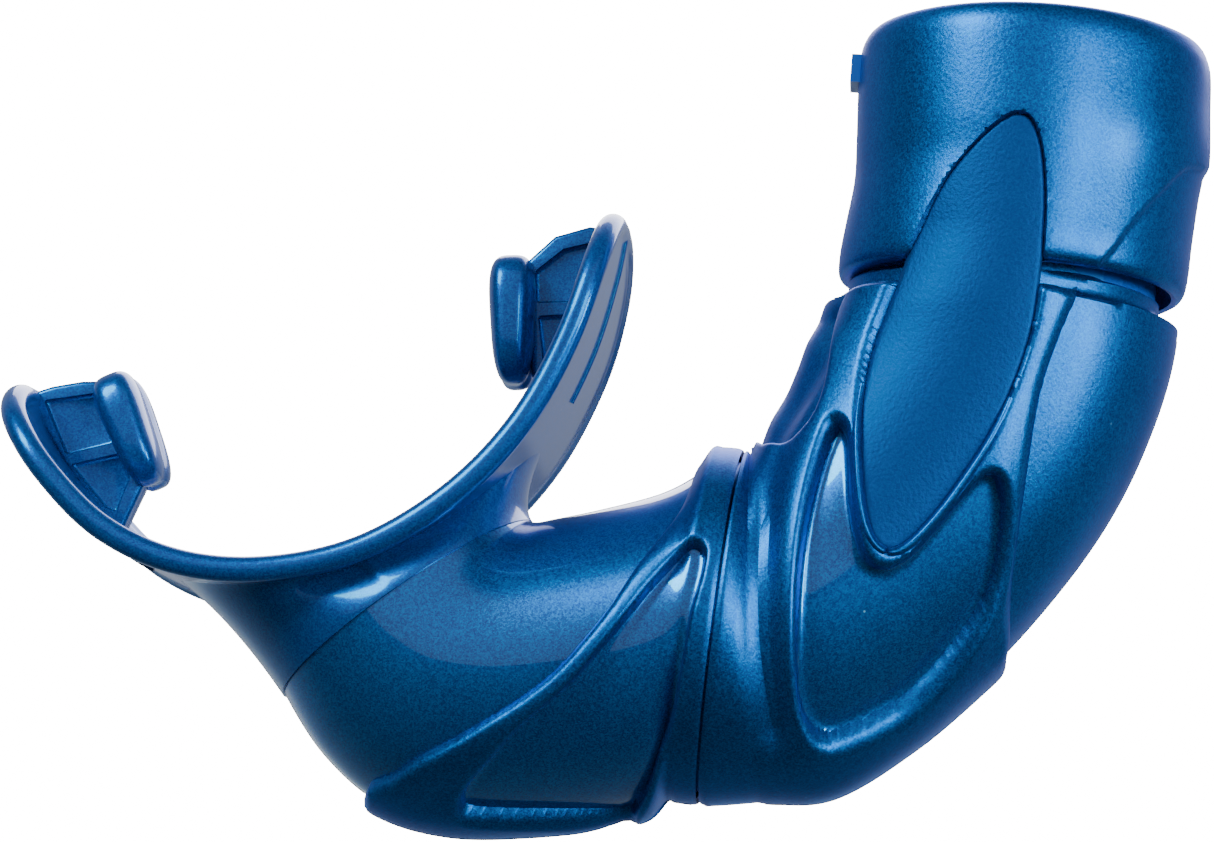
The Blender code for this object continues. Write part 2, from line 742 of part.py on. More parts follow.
def main():
    for old in list(bpy.data.objects):
        bpy.data.objects.remove(old, do_unlink=True)
    finish = make_materials()
    plate_outline = along(PLATE_OUTLINE, 2, closed=True)
    plate_clear = prism("plate_clear", grown(plate_outline, GAP))
    bezel_clear = prism("bezel_clear", grown(plate_outline, 2 * GAP + BEZEL_WIDTH))
    window_cut = prism("v_window_shape", along(V_WINDOW_OUTLINE, 2, closed=True))

    make_barrel_socket(finish["raw"])
    make_barrel_collar(finish["matte"], plate_clear)
    make_barrel_seal(finish["seal"])
    make_elbow_shell(finish["gloss"])
    make_elbow_frame(finish["matte"], window_cut, bezel_clear)
    for side in ("front", "back"):
        make_plate(side, plate_outline, finish["plate"])
        make_bezel(side, plate_outline, finish["matte"])
    make_sleeve(finish["raw"])

    mouthpiece = [
        make_spigot(finish["raw"]),
        make_spigot_seal(finish["seal"]),
        make_retaining_ring(finish["ring"]),
        make_mouthpiece_shell(finish["gloss"]),
        make_mouthpiece_frame(finish["matte"]),
        make_mouth_neck(finish["soft"]),
        make_lip_flange(finish["soft"]),
        make_wing("left", LEFT_WING, finish["soft"]),
        make_wing("right", RIGHT_WING, finish["soft"]),
        make_pad("left", LEFT_WING, finish["soft"]),
        make_pad("right", RIGHT_WING, finish["soft"]),
    ]
    swivel = swivel_empty()
    for piece in mouthpiece:
        piece.parent = swivel
        piece.matrix_parent_inverse = swivel.matrix_world.inverted()


main()
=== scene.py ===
"""Snorkel's lower end: pearl-painted collar, ribbed elbow and swivelling mouthpiece.

The file is laid out as an add-on and run as a script. Each operator makes one piece, or one group of
like pieces, around the fixed frame that is loaded at the top. Outlines and tables are in millimetres:
+X points away from the mouth, +Z up the barrel, and every piece is mirrored about Y = 0.
"""

import functools
import math

import bpy
import numpy as np
from bpy.props import FloatProperty, FloatVectorProperty, PointerProperty
from mathutils import Matrix, Vector


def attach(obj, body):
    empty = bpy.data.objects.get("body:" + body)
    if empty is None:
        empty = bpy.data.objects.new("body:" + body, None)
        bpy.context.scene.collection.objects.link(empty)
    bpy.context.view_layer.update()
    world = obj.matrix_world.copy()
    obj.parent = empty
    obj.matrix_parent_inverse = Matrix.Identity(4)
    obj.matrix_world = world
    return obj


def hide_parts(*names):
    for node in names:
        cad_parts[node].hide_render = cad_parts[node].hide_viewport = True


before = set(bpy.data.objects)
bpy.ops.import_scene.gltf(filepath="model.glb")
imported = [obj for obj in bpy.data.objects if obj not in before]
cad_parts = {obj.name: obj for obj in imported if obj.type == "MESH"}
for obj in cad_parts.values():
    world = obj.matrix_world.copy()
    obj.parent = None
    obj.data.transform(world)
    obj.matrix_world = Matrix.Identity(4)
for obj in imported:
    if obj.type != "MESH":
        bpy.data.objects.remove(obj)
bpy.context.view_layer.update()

bl_info = {
    "name": "Snorkel Lower End",
    "version": (1, 0, 0),
    "blender": (4, 5, 0),
    "location": "3D View > Sidebar > Snorkel",
    "description": "Builds the finished collar, elbow and mouthpiece of a snorkel",
    "category": "Object",
}

MM = 0.001
TAU = 2 * math.pi
SMOOTH_ANGLE = 50.0
WELD_REACH = 0.02  # vertices nearer than this become one
ALIGN_REACH = 0.6  # how near an edge's line a grid point has to be to slide onto it
ALIGN_MOST = 0.55  # the furthest it slides, as a share of its cell

# ---------------------------------------------------------------- shape tables, in millimetres

TUBE_R = 18.2
BEND_CENTRE = (-30.5, -5.0)
# Angle round the bend, distance of the middle, and how much wider and deeper than TUBE_R the elbow is
BEND = (
    (-22.0, 28.2, 1.2, 0.2),
    (2.0, 28.2, 1.2, 0.2),
    (20.0, 27.9, 1.1, 0.0),
    (40.0, 28.5, 1.3, -0.1),
    (55.0, 30.4, 1.6, -0.1),
    (66.0, 32.8, 2.0, 0.0),
    (76.0, 35.5, 2.2, 0.0),
    (82.0, 37.1, 0.5, -0.3),
    (84.5, 37.9, -0.6, -0.6),
)
SWIVEL_CENTRE = (-28.5, -43.0)
SWIVEL_TILT = 3.0
# Places along the swivel's axis, from its centre towards the mouth
NECK_START = 1.3
RIB_SEAM = 1.7
LAP_START = 2.0
NECK_END = 3.0
BOWL_START = 3.4
LAP_END = 5.3

WINDOW_DEPTH = 1.3
RIB_SINK = 1.9  # how far the ribs' walls reach down into the tube
RIB_BORDER = -0.3  # where the ribs' sheet ends, past their outline
ELBOW_WALL = 1.9
BOWL_WALL = 1.8
NECK_WALL = 1.6
PLATE_WALL = 0.9
ELBOW_RIB_WALL = 0.8
MOUTH_RIB_WALL = 0.65
BEAD_WALL = 0.5
# Mouthpiece bowl: middle, tilt, and how much wider and deeper than TUBE_R each section is
BOWL = (
    (-35.6, -44.9, 3.2, 0.1, -0.1),
    (-39.5, -46.7, 3.6, -0.4, -0.3),
    (-47.0, -48.6, 8.0, -0.5, -0.8),
    (-53.5, -49.6, 14.6, -0.4, -1.1),
    (-58.5, -49.1, 25.0, -0.4, -1.3),
    (-62.4, -46.8, 37.0, -1.0, -1.6),
    (-65.3, -43.4, 50.0, -1.7, -1.9),
)
BOWL_END_AXIS = (-math.cos(math.radians(BOWL[-1][2])), math.sin(math.radians(BOWL[-1][2])))
COLLAR_R = 19.5
COLLAR_BORE_R = 16.3
COLLAR_LIP_R = 17.0
COLLAR_FOOT_R = 16.7
# Collar from its lower edge up: height, sideways shift and growth
COLLAR = (
    (-3.3, -1.4, -1.0), (-2.9, -1.4, -0.4), (-2.0, -1.3, -0.1), (0.0, -1.15, 0.0), (3.0, -0.9, -0.1),
    (8.0, -0.4, -0.2), (12.5, -0.2, 0.1), (18.0, -0.45, 0.1), (22.0, -0.55, 0.0), (23.6, -0.6, -0.35),
    (24.6, -0.55, -0.95), (25.0, -0.5, -1.8),
)

PLATE = (
    (-2.6, 12.35), (-3.7, 11.9), (-5.2, 10.7), (-7.2, 8.5), (-9.7, 5.0), (-12.2, -0.4),
    (-14.3, -7.5), (-16.1, -14.0), (-16.8, -21.2), (-16.2, -27.9), (-15.1, -32.8), (-13.4, -35.2),
    (-11.2, -34.8), (-8.2, -31.3), (-5.6, -27.2), (-3.0, -22.4), (-0.9, -16.8), (0.6, -10.8),
    (1.1, -5.0), (1.1, 2.3), (0.5, 7.6), (-0.2, 10.2), (-1.2, 11.9),
)
ELBOW_RIBS = (
    (-18.2, -5.9), (-19.9, -6.9), (-20.5, -9.4), (-20.5, -15.0), (-21.3, -19.6), (-23.2, -22.6),
    (-27.0, -23.4), (-36.0, -22.5), (-36.0, -45.0), (-36.0, -70.0), (-9.5, -70.0), (-4.8, -56.5),
    (-1.2, -50.0), (0.4, -44.0), (0.8, -38.0), (1.4, -28.0), (2.3, -17.5), (4.2, -10.3),
    (5.3, -7.2), (5.2, -6.2), (4.4, -5.8),
)
V_WINDOW = (
    (-19.3, -22.3), (-20.3, -25.0), (-21.3, -30.5), (-21.8, -37.0), (-21.7, -44.0), (-21.1, -50.4),
    (-19.9, -53.6), (-18.0, -54.9), (-15.8, -54.3), (-12.5, -52.4), (-9.4, -50.1), (-6.7, -47.0),
    (-4.4, -43.7), (-2.3, -39.9), (-1.2, -36.0), (-0.9, -31.5), (-1.3, -28.2), (-2.1, -26.5),
    (-3.4, -26.7), (-5.0, -28.6), (-7.6, -32.2), (-10.2, -35.6), (-12.6, -37.3), (-14.8, -36.8),
    (-16.2, -33.9), (-17.1, -30.0), (-17.6, -26.0), (-18.1, -23.0),
)
BAND_VALLEY = (
    (-24.2, -20.5), (-25.6, -27.0), (-25.9, -33.0), (-25.6, -40.0), (-24.8, -47.0), (-23.2, -54.0),
)
INNER_VALLEY = (
    (-20.6, -9.5), (-21.8, -13.5), (-23.2, -16.8), (-25.6, -22.0), (-27.2, -27.0), (-28.0, -31.0),
)
COLLAR_FACET = (
    (20.5, 11.6), (18.5, 11.1), (16.1, 9.8), (13.5, 6.4), (11.0, 3.0), (8.9, -0.4), (7.6, -5.0),
    (24.0, -5.0),
)
MOUTH_RIBS = (
    (-33.6, -18.0), (-34.4, -28.5), (-35.2, -32.3), (-36.9, -35.5), (-39.0, -39.0), (-41.2, -43.3),
    (-43.8, -47.2), (-46.5, -50.6), (-49.7, -53.5), (-53.6, -56.3), (-57.0, -58.5), (-60.7, -60.6),
    (-63.9, -62.6), (-67.5, -64.6), (-70.0, -75.0), (-45.0, -76.0), (-18.0, -75.0), (-18.0, -18.0),
)
TRIANGLE = (
    (-32.7, -36.4), (-34.1, -36.8), (-37.2, -40.8), (-39.9, -44.8), (-42.3, -48.2), (-45.0, -51.7),
    (-47.6, -54.2), (-50.2, -56.7), (-53.0, -60.0), (-55.6, -63.0), (-56.2, -64.6), (-55.2, -65.6),
    (-47.4, -65.2), (-39.4, -64.3), (-37.4, -63.0), (-36.0, -60.6), (-35.0, -57.3), (-33.9, -53.3),
    (-33.2, -48.1), (-32.7, -43.4), (-32.0, -39.6), (-31.9, -37.4),
)

# Lip flange: its middle surface in plan, from the left tip to the right one
FLANGE_LINE = (
    (-110.3, -22.3), (-108.4, -27.2), (-103.3, -33.6), (-96.5, -39.2), (-88.0, -42.2), (-78.5, -42.2),
    (-68.5, -39.2), (-59.5, -32.8), (-52.8, -24.5), (-48.4, -14.5), (-46.2, -5.0), (-45.5, 1.7),
)
MOUTH_CENTRE = (-70.5, -39.0)
MOUTH_HALF = (11.5, 9.0)
GUSSET_LEFT = (-93.6, -40.6)
GUSSET_RIGHT = (-50.0, -19.0)

LEFT_WING = (
    (-110.6, -23.2), (-107.4, -21.9), (-104.2, -21.1), (-101.0, -20.8), (-95.7, -31.8), (-98.4, -39.2),
)
LEFT_WINDOWS = (
    ((-108.2, -23.6), (-101.8, -22.2), (-98.9, -27.6), (-105.0, -29.6)),
    ((-104.4, -30.6), (-98.9, -28.9), (-97.4, -31.6), (-98.6, -35.6), (-99.9, -35.2)),
)
RIGHT_WING = (
    (-46.4, 0.4), (-48.7, 0.6), (-52.5, -0.8), (-55.4, -3.9), (-53.7, -17.0), (-49.9, -18.6),
)
RIGHT_WINDOWS = (
    ((-54.4, -5.0), (-51.4, -2.2), (-48.2, -1.2), (-48.6, -8.0), (-53.9, -8.6)),
    ((-53.6, -10.0), (-49.0, -9.4), (-50.0, -15.2), (-52.4, -16.0)),
)


# ---------------------------------------------------------------- what a user may change


class SnorkelSizes(bpy.types.PropertyGroup):
    rib_rise: FloatProperty(
        name="Rib rise", description="How far the ribs stand out of the tube", default=1.5 * MM,
        unit="LENGTH", subtype="DISTANCE",
    )
    rib_round: FloatProperty(
        name="Rib rounding", description="Rounding along the ribs' edges", default=1.3 * MM,
        unit="LENGTH", subtype="DISTANCE",
    )
    bead_width: FloatProperty(
        name="Bead width", description="Width of the bead round each plate", default=1.5 * MM,
        unit="LENGTH", subtype="DISTANCE",
    )
    bead_rise: FloatProperty(
        name="Bead rise", description="How far the bead stands out of the tube", default=1.85 * MM,
        unit="LENGTH", subtype="DISTANCE",
    )
    flange_thick: FloatProperty(
        name="Flange sheet", description="Thickness of the lip flange", default=1.9 * MM,
        unit="LENGTH", subtype="DISTANCE",
    )
    rim_thick: FloatProperty(
        name="Flange rim", description="Thickness of the flange's rolled rim", default=2.8 * MM,
        unit="LENGTH", subtype="DISTANCE",
    )
    flash_radius: FloatProperty(
        name="Mould line", description="Half thickness of the line that the mould leaves",
        default=0.3 * MM, unit="LENGTH", subtype="DISTANCE",
    )


class SnorkelColours(bpy.types.PropertyGroup):
    deep: FloatVectorProperty(
        name="Deep blue", description="Pearl paint where it turns from the light", subtype="COLOR",
        size=3, min=0.0, max=1.0, default=(0.004, 0.018, 0.17),
    )
    bright: FloatVectorProperty(
        name="Bright blue", description="Flakes in the pearl paint", subtype="COLOR",
        size=3, min=0.0, max=1.0, default=(0.002, 0.24, 0.60),
    )
    edge: FloatVectorProperty(
        name="Edge violet", description="Tint of the paint at a glancing angle", subtype="COLOR",
        size=3, min=0.0, max=1.0, default=(0.50, 0.45, 0.95),
    )
    plate: FloatVectorProperty(
        name="Plate blue", description="Greyer blue of the plates", subtype="COLOR",
        size=3, min=0.0, max=1.0, default=(0.006, 0.045, 0.16),
    )
    raw: FloatVectorProperty(
        name="Bare plastic", description="Saturated blue of the plastic under the paint", subtype="COLOR",
        size=3, min=0.0, max=1.0, default=(0.0, 0.13, 0.55),
    )


# ---------------------------------------------------------------- curves


def smooth_curve(points, steps, closed=False):
    """Points on one smooth curve through the given ones."""
    points = np.array(points, float)
    spans = len(points) if closed else len(points) - 1
    index = np.arange(spans)

    def at(i):
        return points[i % len(points) if closed else np.clip(i, 0, len(points) - 1)][:, None, :]

    a, b, c, d = at(index - 1), at(index), at(index + 1), at(index + 2)
    t = (np.arange(steps) / steps)[None, :, None]
    curve = 0.5 * (2 * b + (c - a) * t + (2 * a - 5 * b + 4 * c - d) * t**2 + (3 * b - a - 3 * c + d) * t**3)
    curve = curve.reshape(-1, points.shape[1])
    return curve if closed else np.vstack([curve, points[-1:]])


def travelled(curve):
    """Distance along a curve to each of its points."""
    steps = np.linalg.norm(np.diff(curve[:, :2], axis=0), axis=1)
    return np.concatenate([[0.0], np.cumsum(steps)])


def at_distance(curve, distance):
    length = travelled(curve)
    return np.column_stack([np.interp(distance, length, column) for column in curve.T])


def evenly(curve, count):
    """The curve's rows again, at even distances along it."""
    return at_distance(curve, np.linspace(0, travelled(curve)[-1], count))


def inside_distance(outline, points):
    """Distance in X and Z from each point to a closed outline, positive inside it."""
    x, z = points[:, 0], points[:, -1]
    nearest = np.full(len(x), np.inf)
    inside = np.zeros(len(x), bool)
    for (ax, az), (bx, bz) in zip(outline, np.roll(outline, -1, axis=0)):
        ex, ez = bx - ax, bz - az
        share = np.clip(((x - ax) * ex + (z - az) * ez) / (ex * ex + ez * ez), 0, 1)
        nearest = np.minimum(nearest, np.hypot(x - ax - share * ex, z - az - share * ez))
        if az != bz:
            inside ^= ((az > z) != (bz > z)) & (x < ax + ex * (z - az) / ez)
    return np.where(inside, nearest, -nearest)


def line_distance(line, points):
    """Distance in X and Z from each point to an open line."""
    x, z = points[:, 0], points[:, -1]
    nearest = np.full(len(x), np.inf)
    for (ax, az), (bx, bz) in zip(line, line[1:]):
        ex, ez = bx - ax, bz - az
        share = np.clip(((x - ax) * ex + (z - az) * ez) / (ex * ex + ez * ez), 0, 1)
        nearest = np.minimum(nearest, np.hypot(x - ax - share * ex, z - az - share * ez))
    return nearest


def ease(value):
    """0 to 1, slow at both ends."""
    value = np.clip(value, 0, 1)
    return value * value * (3 - 2 * value)


def rounded(distance, radius):
    """0 at an edge, rising on a quarter round to 1 at `radius` inside it."""
    share = np.clip(distance / radius, 0, 1)
    return np.sqrt(1 - (1 - share) ** 2)


def hump(distance, width):
    """1 at no distance, falling smoothly to 0 past the width."""
    return np.exp(-((distance / width) ** 2))


PLATE_LINE = smooth_curve(PLATE, 4, closed=True)
RIBS_LINE = smooth_curve(ELBOW_RIBS, 3, closed=True)
WINDOW_LINE = smooth_curve(V_WINDOW, 4, closed=True)
FACET_LINE = smooth_curve(COLLAR_FACET, 3, closed=True)
MOUTH_RIBS_LINE = smooth_curve(MOUTH_RIBS, 3, closed=True)
TRIANGLE_LINE = smooth_curve(TRIANGLE, 4, closed=True)
BAND_LINE = smooth_curve(BAND_VALLEY, 4)
RIGHT_EDGE = RIBS_LINE[(RIBS_LINE[:, 0] > -2) & (RIBS_LINE[:, 1] < -6)]


# ---------------------------------------------------------------- sections of the tubes


def bend_sections(first, last, count):
    """Rows of x, z, tilt, half width and half depth round the bend, even in angle."""
    table = smooth_curve(BEND, 12)
    angle = np.linspace(first, last, count)
    distance, wider, deeper = (np.interp(angle, table[:, 0], table[:, k]) for k in (1, 2, 3))
    turn = np.radians(angle)
    x = BEND_CENTRE[0] + distance * np.cos(turn)
    z = BEND_CENTRE[1] - distance * np.sin(turn)
    return np.column_stack([x, z, angle - 90, TUBE_R + wider, TUBE_R + deeper])


def swivel_section(distance, radius):
    """A round section at a distance along the swivel's axis, towards the mouth."""
    tilt = math.radians(SWIVEL_TILT)
    x = SWIVEL_CENTRE[0] - distance * math.cos(tilt)
    z = SWIVEL_CENTRE[1] + distance * math.sin(tilt)
    return (x, z, SWIVEL_TILT, radius, radius)


def mouth_sections(start, count):
    """The mouthpiece's tube from a distance along the swivel's axis to the bowl's end."""
    lap = [swivel_section(w, TUBE_R) for w in np.linspace(start, LAP_END, 4)]
    bowl = [(x, z, tilt, TUBE_R + wider, TUBE_R + deeper) for x, z, tilt, wider, deeper in BOWL]
    return evenly(smooth_curve([*lap, *bowl], 12), count)


def on_sections(rows, turn):
    """Points round the sections and their outward directions; turn 0 is the outer side of the bend."""
    tilt = np.radians(rows[:, 2])
    across = np.column_stack([-np.sin(tilt), np.zeros(len(tilt)), -np.cos(tilt)])
    side = np.array([[0.0, 1.0, 0.0]])
    cos, sin = np.cos(turn)[:, None], np.sin(turn)[:, None]
    wide, deep = rows[:, 3:4], rows[:, 4:5]
    middle = np.column_stack([rows[:, 0], np.zeros(len(rows)), rows[:, 1]])
    points = middle + across * wide * cos + side * deep * sin
    outward = across * cos * deep + side * sin * wide
    return points, outward / np.linalg.norm(outward, axis=1, keepdims=True)


def bend_angle(points):
    """Angle of points round the bend, in degrees, 0 at the collar."""
    return np.degrees(np.arctan2(BEND_CENTRE[1] - points[:, -1], points[:, 0] - BEND_CENTRE[0]))


def elbow_depth(x, z, lift):
    """Half depth of the lifted elbow at a place seen from the side."""
    angle = np.degrees(np.arctan2(BEND_CENTRE[1] - z, x - BEND_CENTRE[0]))
    table = smooth_curve(BEND, 12)
    distance, wider, deeper = (np.interp(angle, table[:, 0], table[:, k]) for k in (1, 2, 3))
    away = np.hypot(x - BEND_CENTRE[0], z - BEND_CENTRE[1]) - distance
    share = np.clip(away / (TUBE_R + wider + lift), -1, 1)
    return (TUBE_R + deeper + lift) * np.sqrt(1 - share**2)


# ---------------------------------------------------------------- mesh tools


def deselect_all():
    if bpy.context.object and bpy.context.object.mode != "OBJECT":
        bpy.ops.object.mode_set(mode="OBJECT")
    bpy.ops.object.select_all(action="DESELECT")


def points_of(piece):
    found = np.empty(len(piece.data.vertices) * 3)
    piece.data.vertices.foreach_get("co", found)
    return found.reshape(-1, 3)


def place_points(piece, points):
    """Moves the vertices to points given in millimetres."""
    piece.data.vertices.foreach_set("co", (points * MM).astype(np.float32).ravel())
    piece.data.update()


def flat_grid(name, across, along):
    """A grid of faces, with each vertex's share of the way across and along it."""
    deselect_all()
    bpy.ops.mesh.primitive_grid_add(x_subdivisions=across, y_subdivisions=along, size=1.0)
    piece = bpy.context.object
    piece.name = name
    piece.data.name = name
    flat = points_of(piece)
    return piece, flat[:, 0] + 0.5, flat[:, 1] + 0.5


def in_edit_mode(piece, faces=None):
    """Opens edit mode with the given faces selected, or with everything selected."""
    deselect_all()
    piece.select_set(True)
    bpy.context.view_layer.objects.active = piece
    bpy.context.tool_settings.mesh_select_mode = (faces is None, False, faces is not None)
    if faces is not None:
        piece.data.polygons.foreach_set("select", faces)
    bpy.ops.object.mode_set(mode="EDIT")
    if faces is None:
        bpy.ops.mesh.select_all(action="SELECT")


def weld(piece):
    """Merges the vertices that lie on each other, so that seams and poles close."""
    in_edit_mode(piece)
    bpy.ops.mesh.remove_doubles(threshold=WELD_REACH * MM)
    bpy.ops.object.mode_set(mode="OBJECT")


def turn_outward(piece):
    """Turns the faces of a closed piece outwards."""
    in_edit_mode(piece)
    bpy.ops.mesh.normals_make_consistent(inside=False)
    bpy.ops.object.mode_set(mode="OBJECT")


def face_with(piece, outward):
    """Flips a whole sheet whose faces lean against its vertices' outward directions."""
    mesh = piece.data
    normals = np.empty(len(mesh.polygons) * 3)
    mesh.polygons.foreach_get("normal", normals)
    starts = np.empty(len(mesh.polygons), int)
    mesh.polygons.foreach_get("loop_start", starts)
    corners = np.empty(len(mesh.loops), int)
    mesh.loops.foreach_get("vertex_index", corners)
    lean = (normals.reshape(-1, 3) * outward[corners[starts]]).sum()
    if lean < 0:
        in_edit_mode(piece)
        bpy.ops.mesh.flip_normals()
        bpy.ops.object.mode_set(mode="OBJECT")


def trim(piece, keep):
    """Deletes the faces that don't touch a vertex to keep."""
    mesh = piece.data
    corners = np.empty(len(mesh.loops), int)
    mesh.loops.foreach_get("vertex_index", corners)
    starts = np.empty(len(mesh.polygons), int)
    mesh.polygons.foreach_get("loop_start", starts)
    kept = np.logical_or.reduceat(keep[corners], starts)
    in_edit_mode(piece, ~kept)
    bpy.ops.mesh.delete(type="FACE")
    bpy.ops.object.mode_set(mode="OBJECT")


def apply_modifier(piece, modifier):
    deselect_all()
    piece.select_set(True)
    bpy.context.view_layer.objects.active = piece
    bpy.ops.object.modifier_apply(modifier=modifier.name)


def wall(piece, thickness):
    """Gives a sheet its thickness, inwards, and closes its rim."""
    solidify = piece.modifiers.new("Wall", "SOLIDIFY")
    solidify.thickness = thickness * MM
    solidify.offset = -1.0
    apply_modifier(piece, solidify)


def cut(piece, cutter):
    """Takes the cutter's shape out of a piece and removes the cutter."""
    boolean = piece.modifiers.new("Cut", "BOOLEAN")
    boolean.operation = "DIFFERENCE"
    boolean.object = cutter
    apply_modifier(piece, boolean)
    bpy.data.objects.remove(cutter)


def rows_at(rows, along):
    """The sections at shares of the way along their rows."""
    place = along * (len(rows) - 1)
    return np.column_stack([np.interp(place, np.arange(len(rows)), column) for column in rows.T])


def aligned(rows, around, across, along, field, level):
    """Slides the grid's nearest points onto the line where the field has the given level."""
    cell = (1 / around, 1 / (len(rows) - 1))

    def value(a, t):
        return field(on_sections(rows_at(rows, np.clip(t, 0, 1)), a * TAU)[0])

    here = value(across, along)
    near = np.flatnonzero(np.abs(here - level) < ALIGN_REACH)
    a, t, f = across[near], along[near], here[near]
    slope_a = (value(a + 0.2 * cell[0], t) - f) / 0.2
    slope_t = (value(a, t - 0.2 * cell[1]) - f) / -0.2
    move = (level - f) / np.maximum(slope_a**2 + slope_t**2, 1e-6)
    close = np.hypot(move * slope_a, move * slope_t) < ALIGN_MOST
    across, along = across.copy(), along.copy()
    across[near] += np.where(close, move * slope_a, 0) * cell[0]
    along[near] = np.clip(t + np.where(close, move * slope_t, 0) * cell[1], 0, 1)
    return across, along


def wrapped(name, rows, around, lift_of, edges=(), keep_of=None):
    """A grid wrapped round the sections, lined up with its edges and lifted by a relief."""
    piece, across, along = flat_grid(name, around, len(rows) - 1)
    for field, level in edges:
        across, along = aligned(rows, around, across, along, field, level)
    base, outward = on_sections(rows_at(rows, along), across * TAU)
    place_points(piece, base + outward * lift_of(base)[:, None])
    face_with(piece, outward)
    if keep_of is not None:
        trim(piece, keep_of(base))
    weld(piece)
    return piece


def glossy_inside(piece, outline, outer, inner):
    """Two finishes on one piece: the inner one where a face lies inside the outline."""
    piece.data.materials.append(bpy.data.materials[outer])
    piece.data.materials.append(bpy.data.materials[inner])
    middles = np.empty(len(piece.data.polygons) * 3)
    piece.data.polygons.foreach_get("center", middles)
    within = inside_distance(outline, middles.reshape(-1, 3) / MM) > -0.5
    piece.data.polygons.foreach_set("material_index", within.astype(int))


def finish_piece(piece, finish, body, slot, *replaced):
    """Smooth shading, material, and the piece's place in the frame."""
    deselect_all()
    piece.select_set(True)
    bpy.context.view_layer.objects.active = piece
    bpy.ops.object.shade_smooth_by_angle(angle=math.radians(SMOOTH_ANGLE))
    if not piece.data.materials:
        piece.data.materials.append(bpy.data.materials[finish])
    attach(piece, body)
    if replaced:
        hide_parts(*replaced)
    return piece


# ---------------------------------------------------------------- materials


def group(name, inputs, outputs):
    """An empty shader group with its named sockets."""
    made = bpy.data.node_groups.new(name, "ShaderNodeTree")
    for label, kind, value in inputs:
        made.interface.new_socket(label, in_out="INPUT", socket_type=kind).default_value = value
    for label, kind in outputs:
        made.interface.new_socket(label, in_out="OUTPUT", socket_type=kind)
    return made, made.nodes.new("NodeGroupInput"), made.nodes.new("NodeGroupOutput")


def node(tree, kind, settings=(), **inputs):
    """A node with its settings made and its inputs filled or linked; _0 names an input by its number."""
    made = tree.nodes.new(kind)
    for name, value in dict(settings).items():
        setattr(made, name, value)
    for name, value in inputs.items():
        socket = made.inputs[int(name[1:]) if name[1:].isdigit() else name.replace("_", " ")]
        if isinstance(value, bpy.types.NodeSocket):
            tree.links.new(value, socket)
        else:
            socket.default_value = value
    return made


def maths(tree, operation, first, second, third=0.0):
    made = node(tree, "ShaderNodeMath", {"operation": operation}, _0=first, _1=second, _2=third)
    return made.outputs[0]


def pearl_group():
    """Pearl paint: a fine glitter of bright flakes over the deep colour, with its grain as a normal."""
    tree, given, out = group(
        "Pearl flake",
        [("Deep", "NodeSocketColor", (0, 0.05, 0.2, 1)), ("Bright", "NodeSocketColor", (0, 0.3, 0.6, 1)),
         ("Flake scale", "NodeSocketFloat", 7000.0), ("Grain", "NodeSocketFloat", 0.1),
         ("Roughness", "NodeSocketFloat", 0.35)],
        [("Color", "NodeSocketColor"), ("Roughness", "NodeSocketFloat"), ("Normal", "NodeSocketVector")],
    )
    place = node(tree, "ShaderNodeTexCoord").outputs["Object"]
    flakes = node(tree, "ShaderNodeTexVoronoi", {"feature": "F1"}, Vector=place,
                  Scale=given.outputs["Flake scale"])
    flake_value = node(tree, "ShaderNodeSeparateColor", Color=flakes.outputs["Color"]).outputs[0]
    cloud = node(tree, "ShaderNodeTexNoise", Vector=place, Scale=55.0, Detail=3.0)
    spread = maths(tree, "MULTIPLY_ADD", flake_value, 0.5, 0.1)
    drift = maths(tree, "MULTIPLY_ADD", cloud.outputs["Fac"], 0.2, 0.0)
    amount = maths(tree, "ADD", spread, drift)
    colour = node(tree, "ShaderNodeMix", {"data_type": "RGBA"}, _0=amount)
    tree.links.new(given.outputs["Deep"], colour.inputs[6])
    tree.links.new(given.outputs["Bright"], colour.inputs[7])
    fine = node(tree, "ShaderNodeTexNoise", Vector=place, Scale=2600.0, Detail=2.0)
    bump = node(tree, "ShaderNodeBump", Height=fine.outputs["Fac"], Strength=given.outputs["Grain"])
    bump.inputs["Distance"].default_value = 0.00012
    rough = maths(tree, "MULTIPLY_ADD", flake_value, 0.08, 0.0)
    rougher = maths(tree, "ADD", rough, given.outputs["Roughness"])
    tree.links.new(colour.outputs[2], out.inputs["Color"])
    tree.links.new(rougher, out.inputs["Roughness"])
    tree.links.new(bump.outputs[0], out.inputs["Normal"])
    return tree


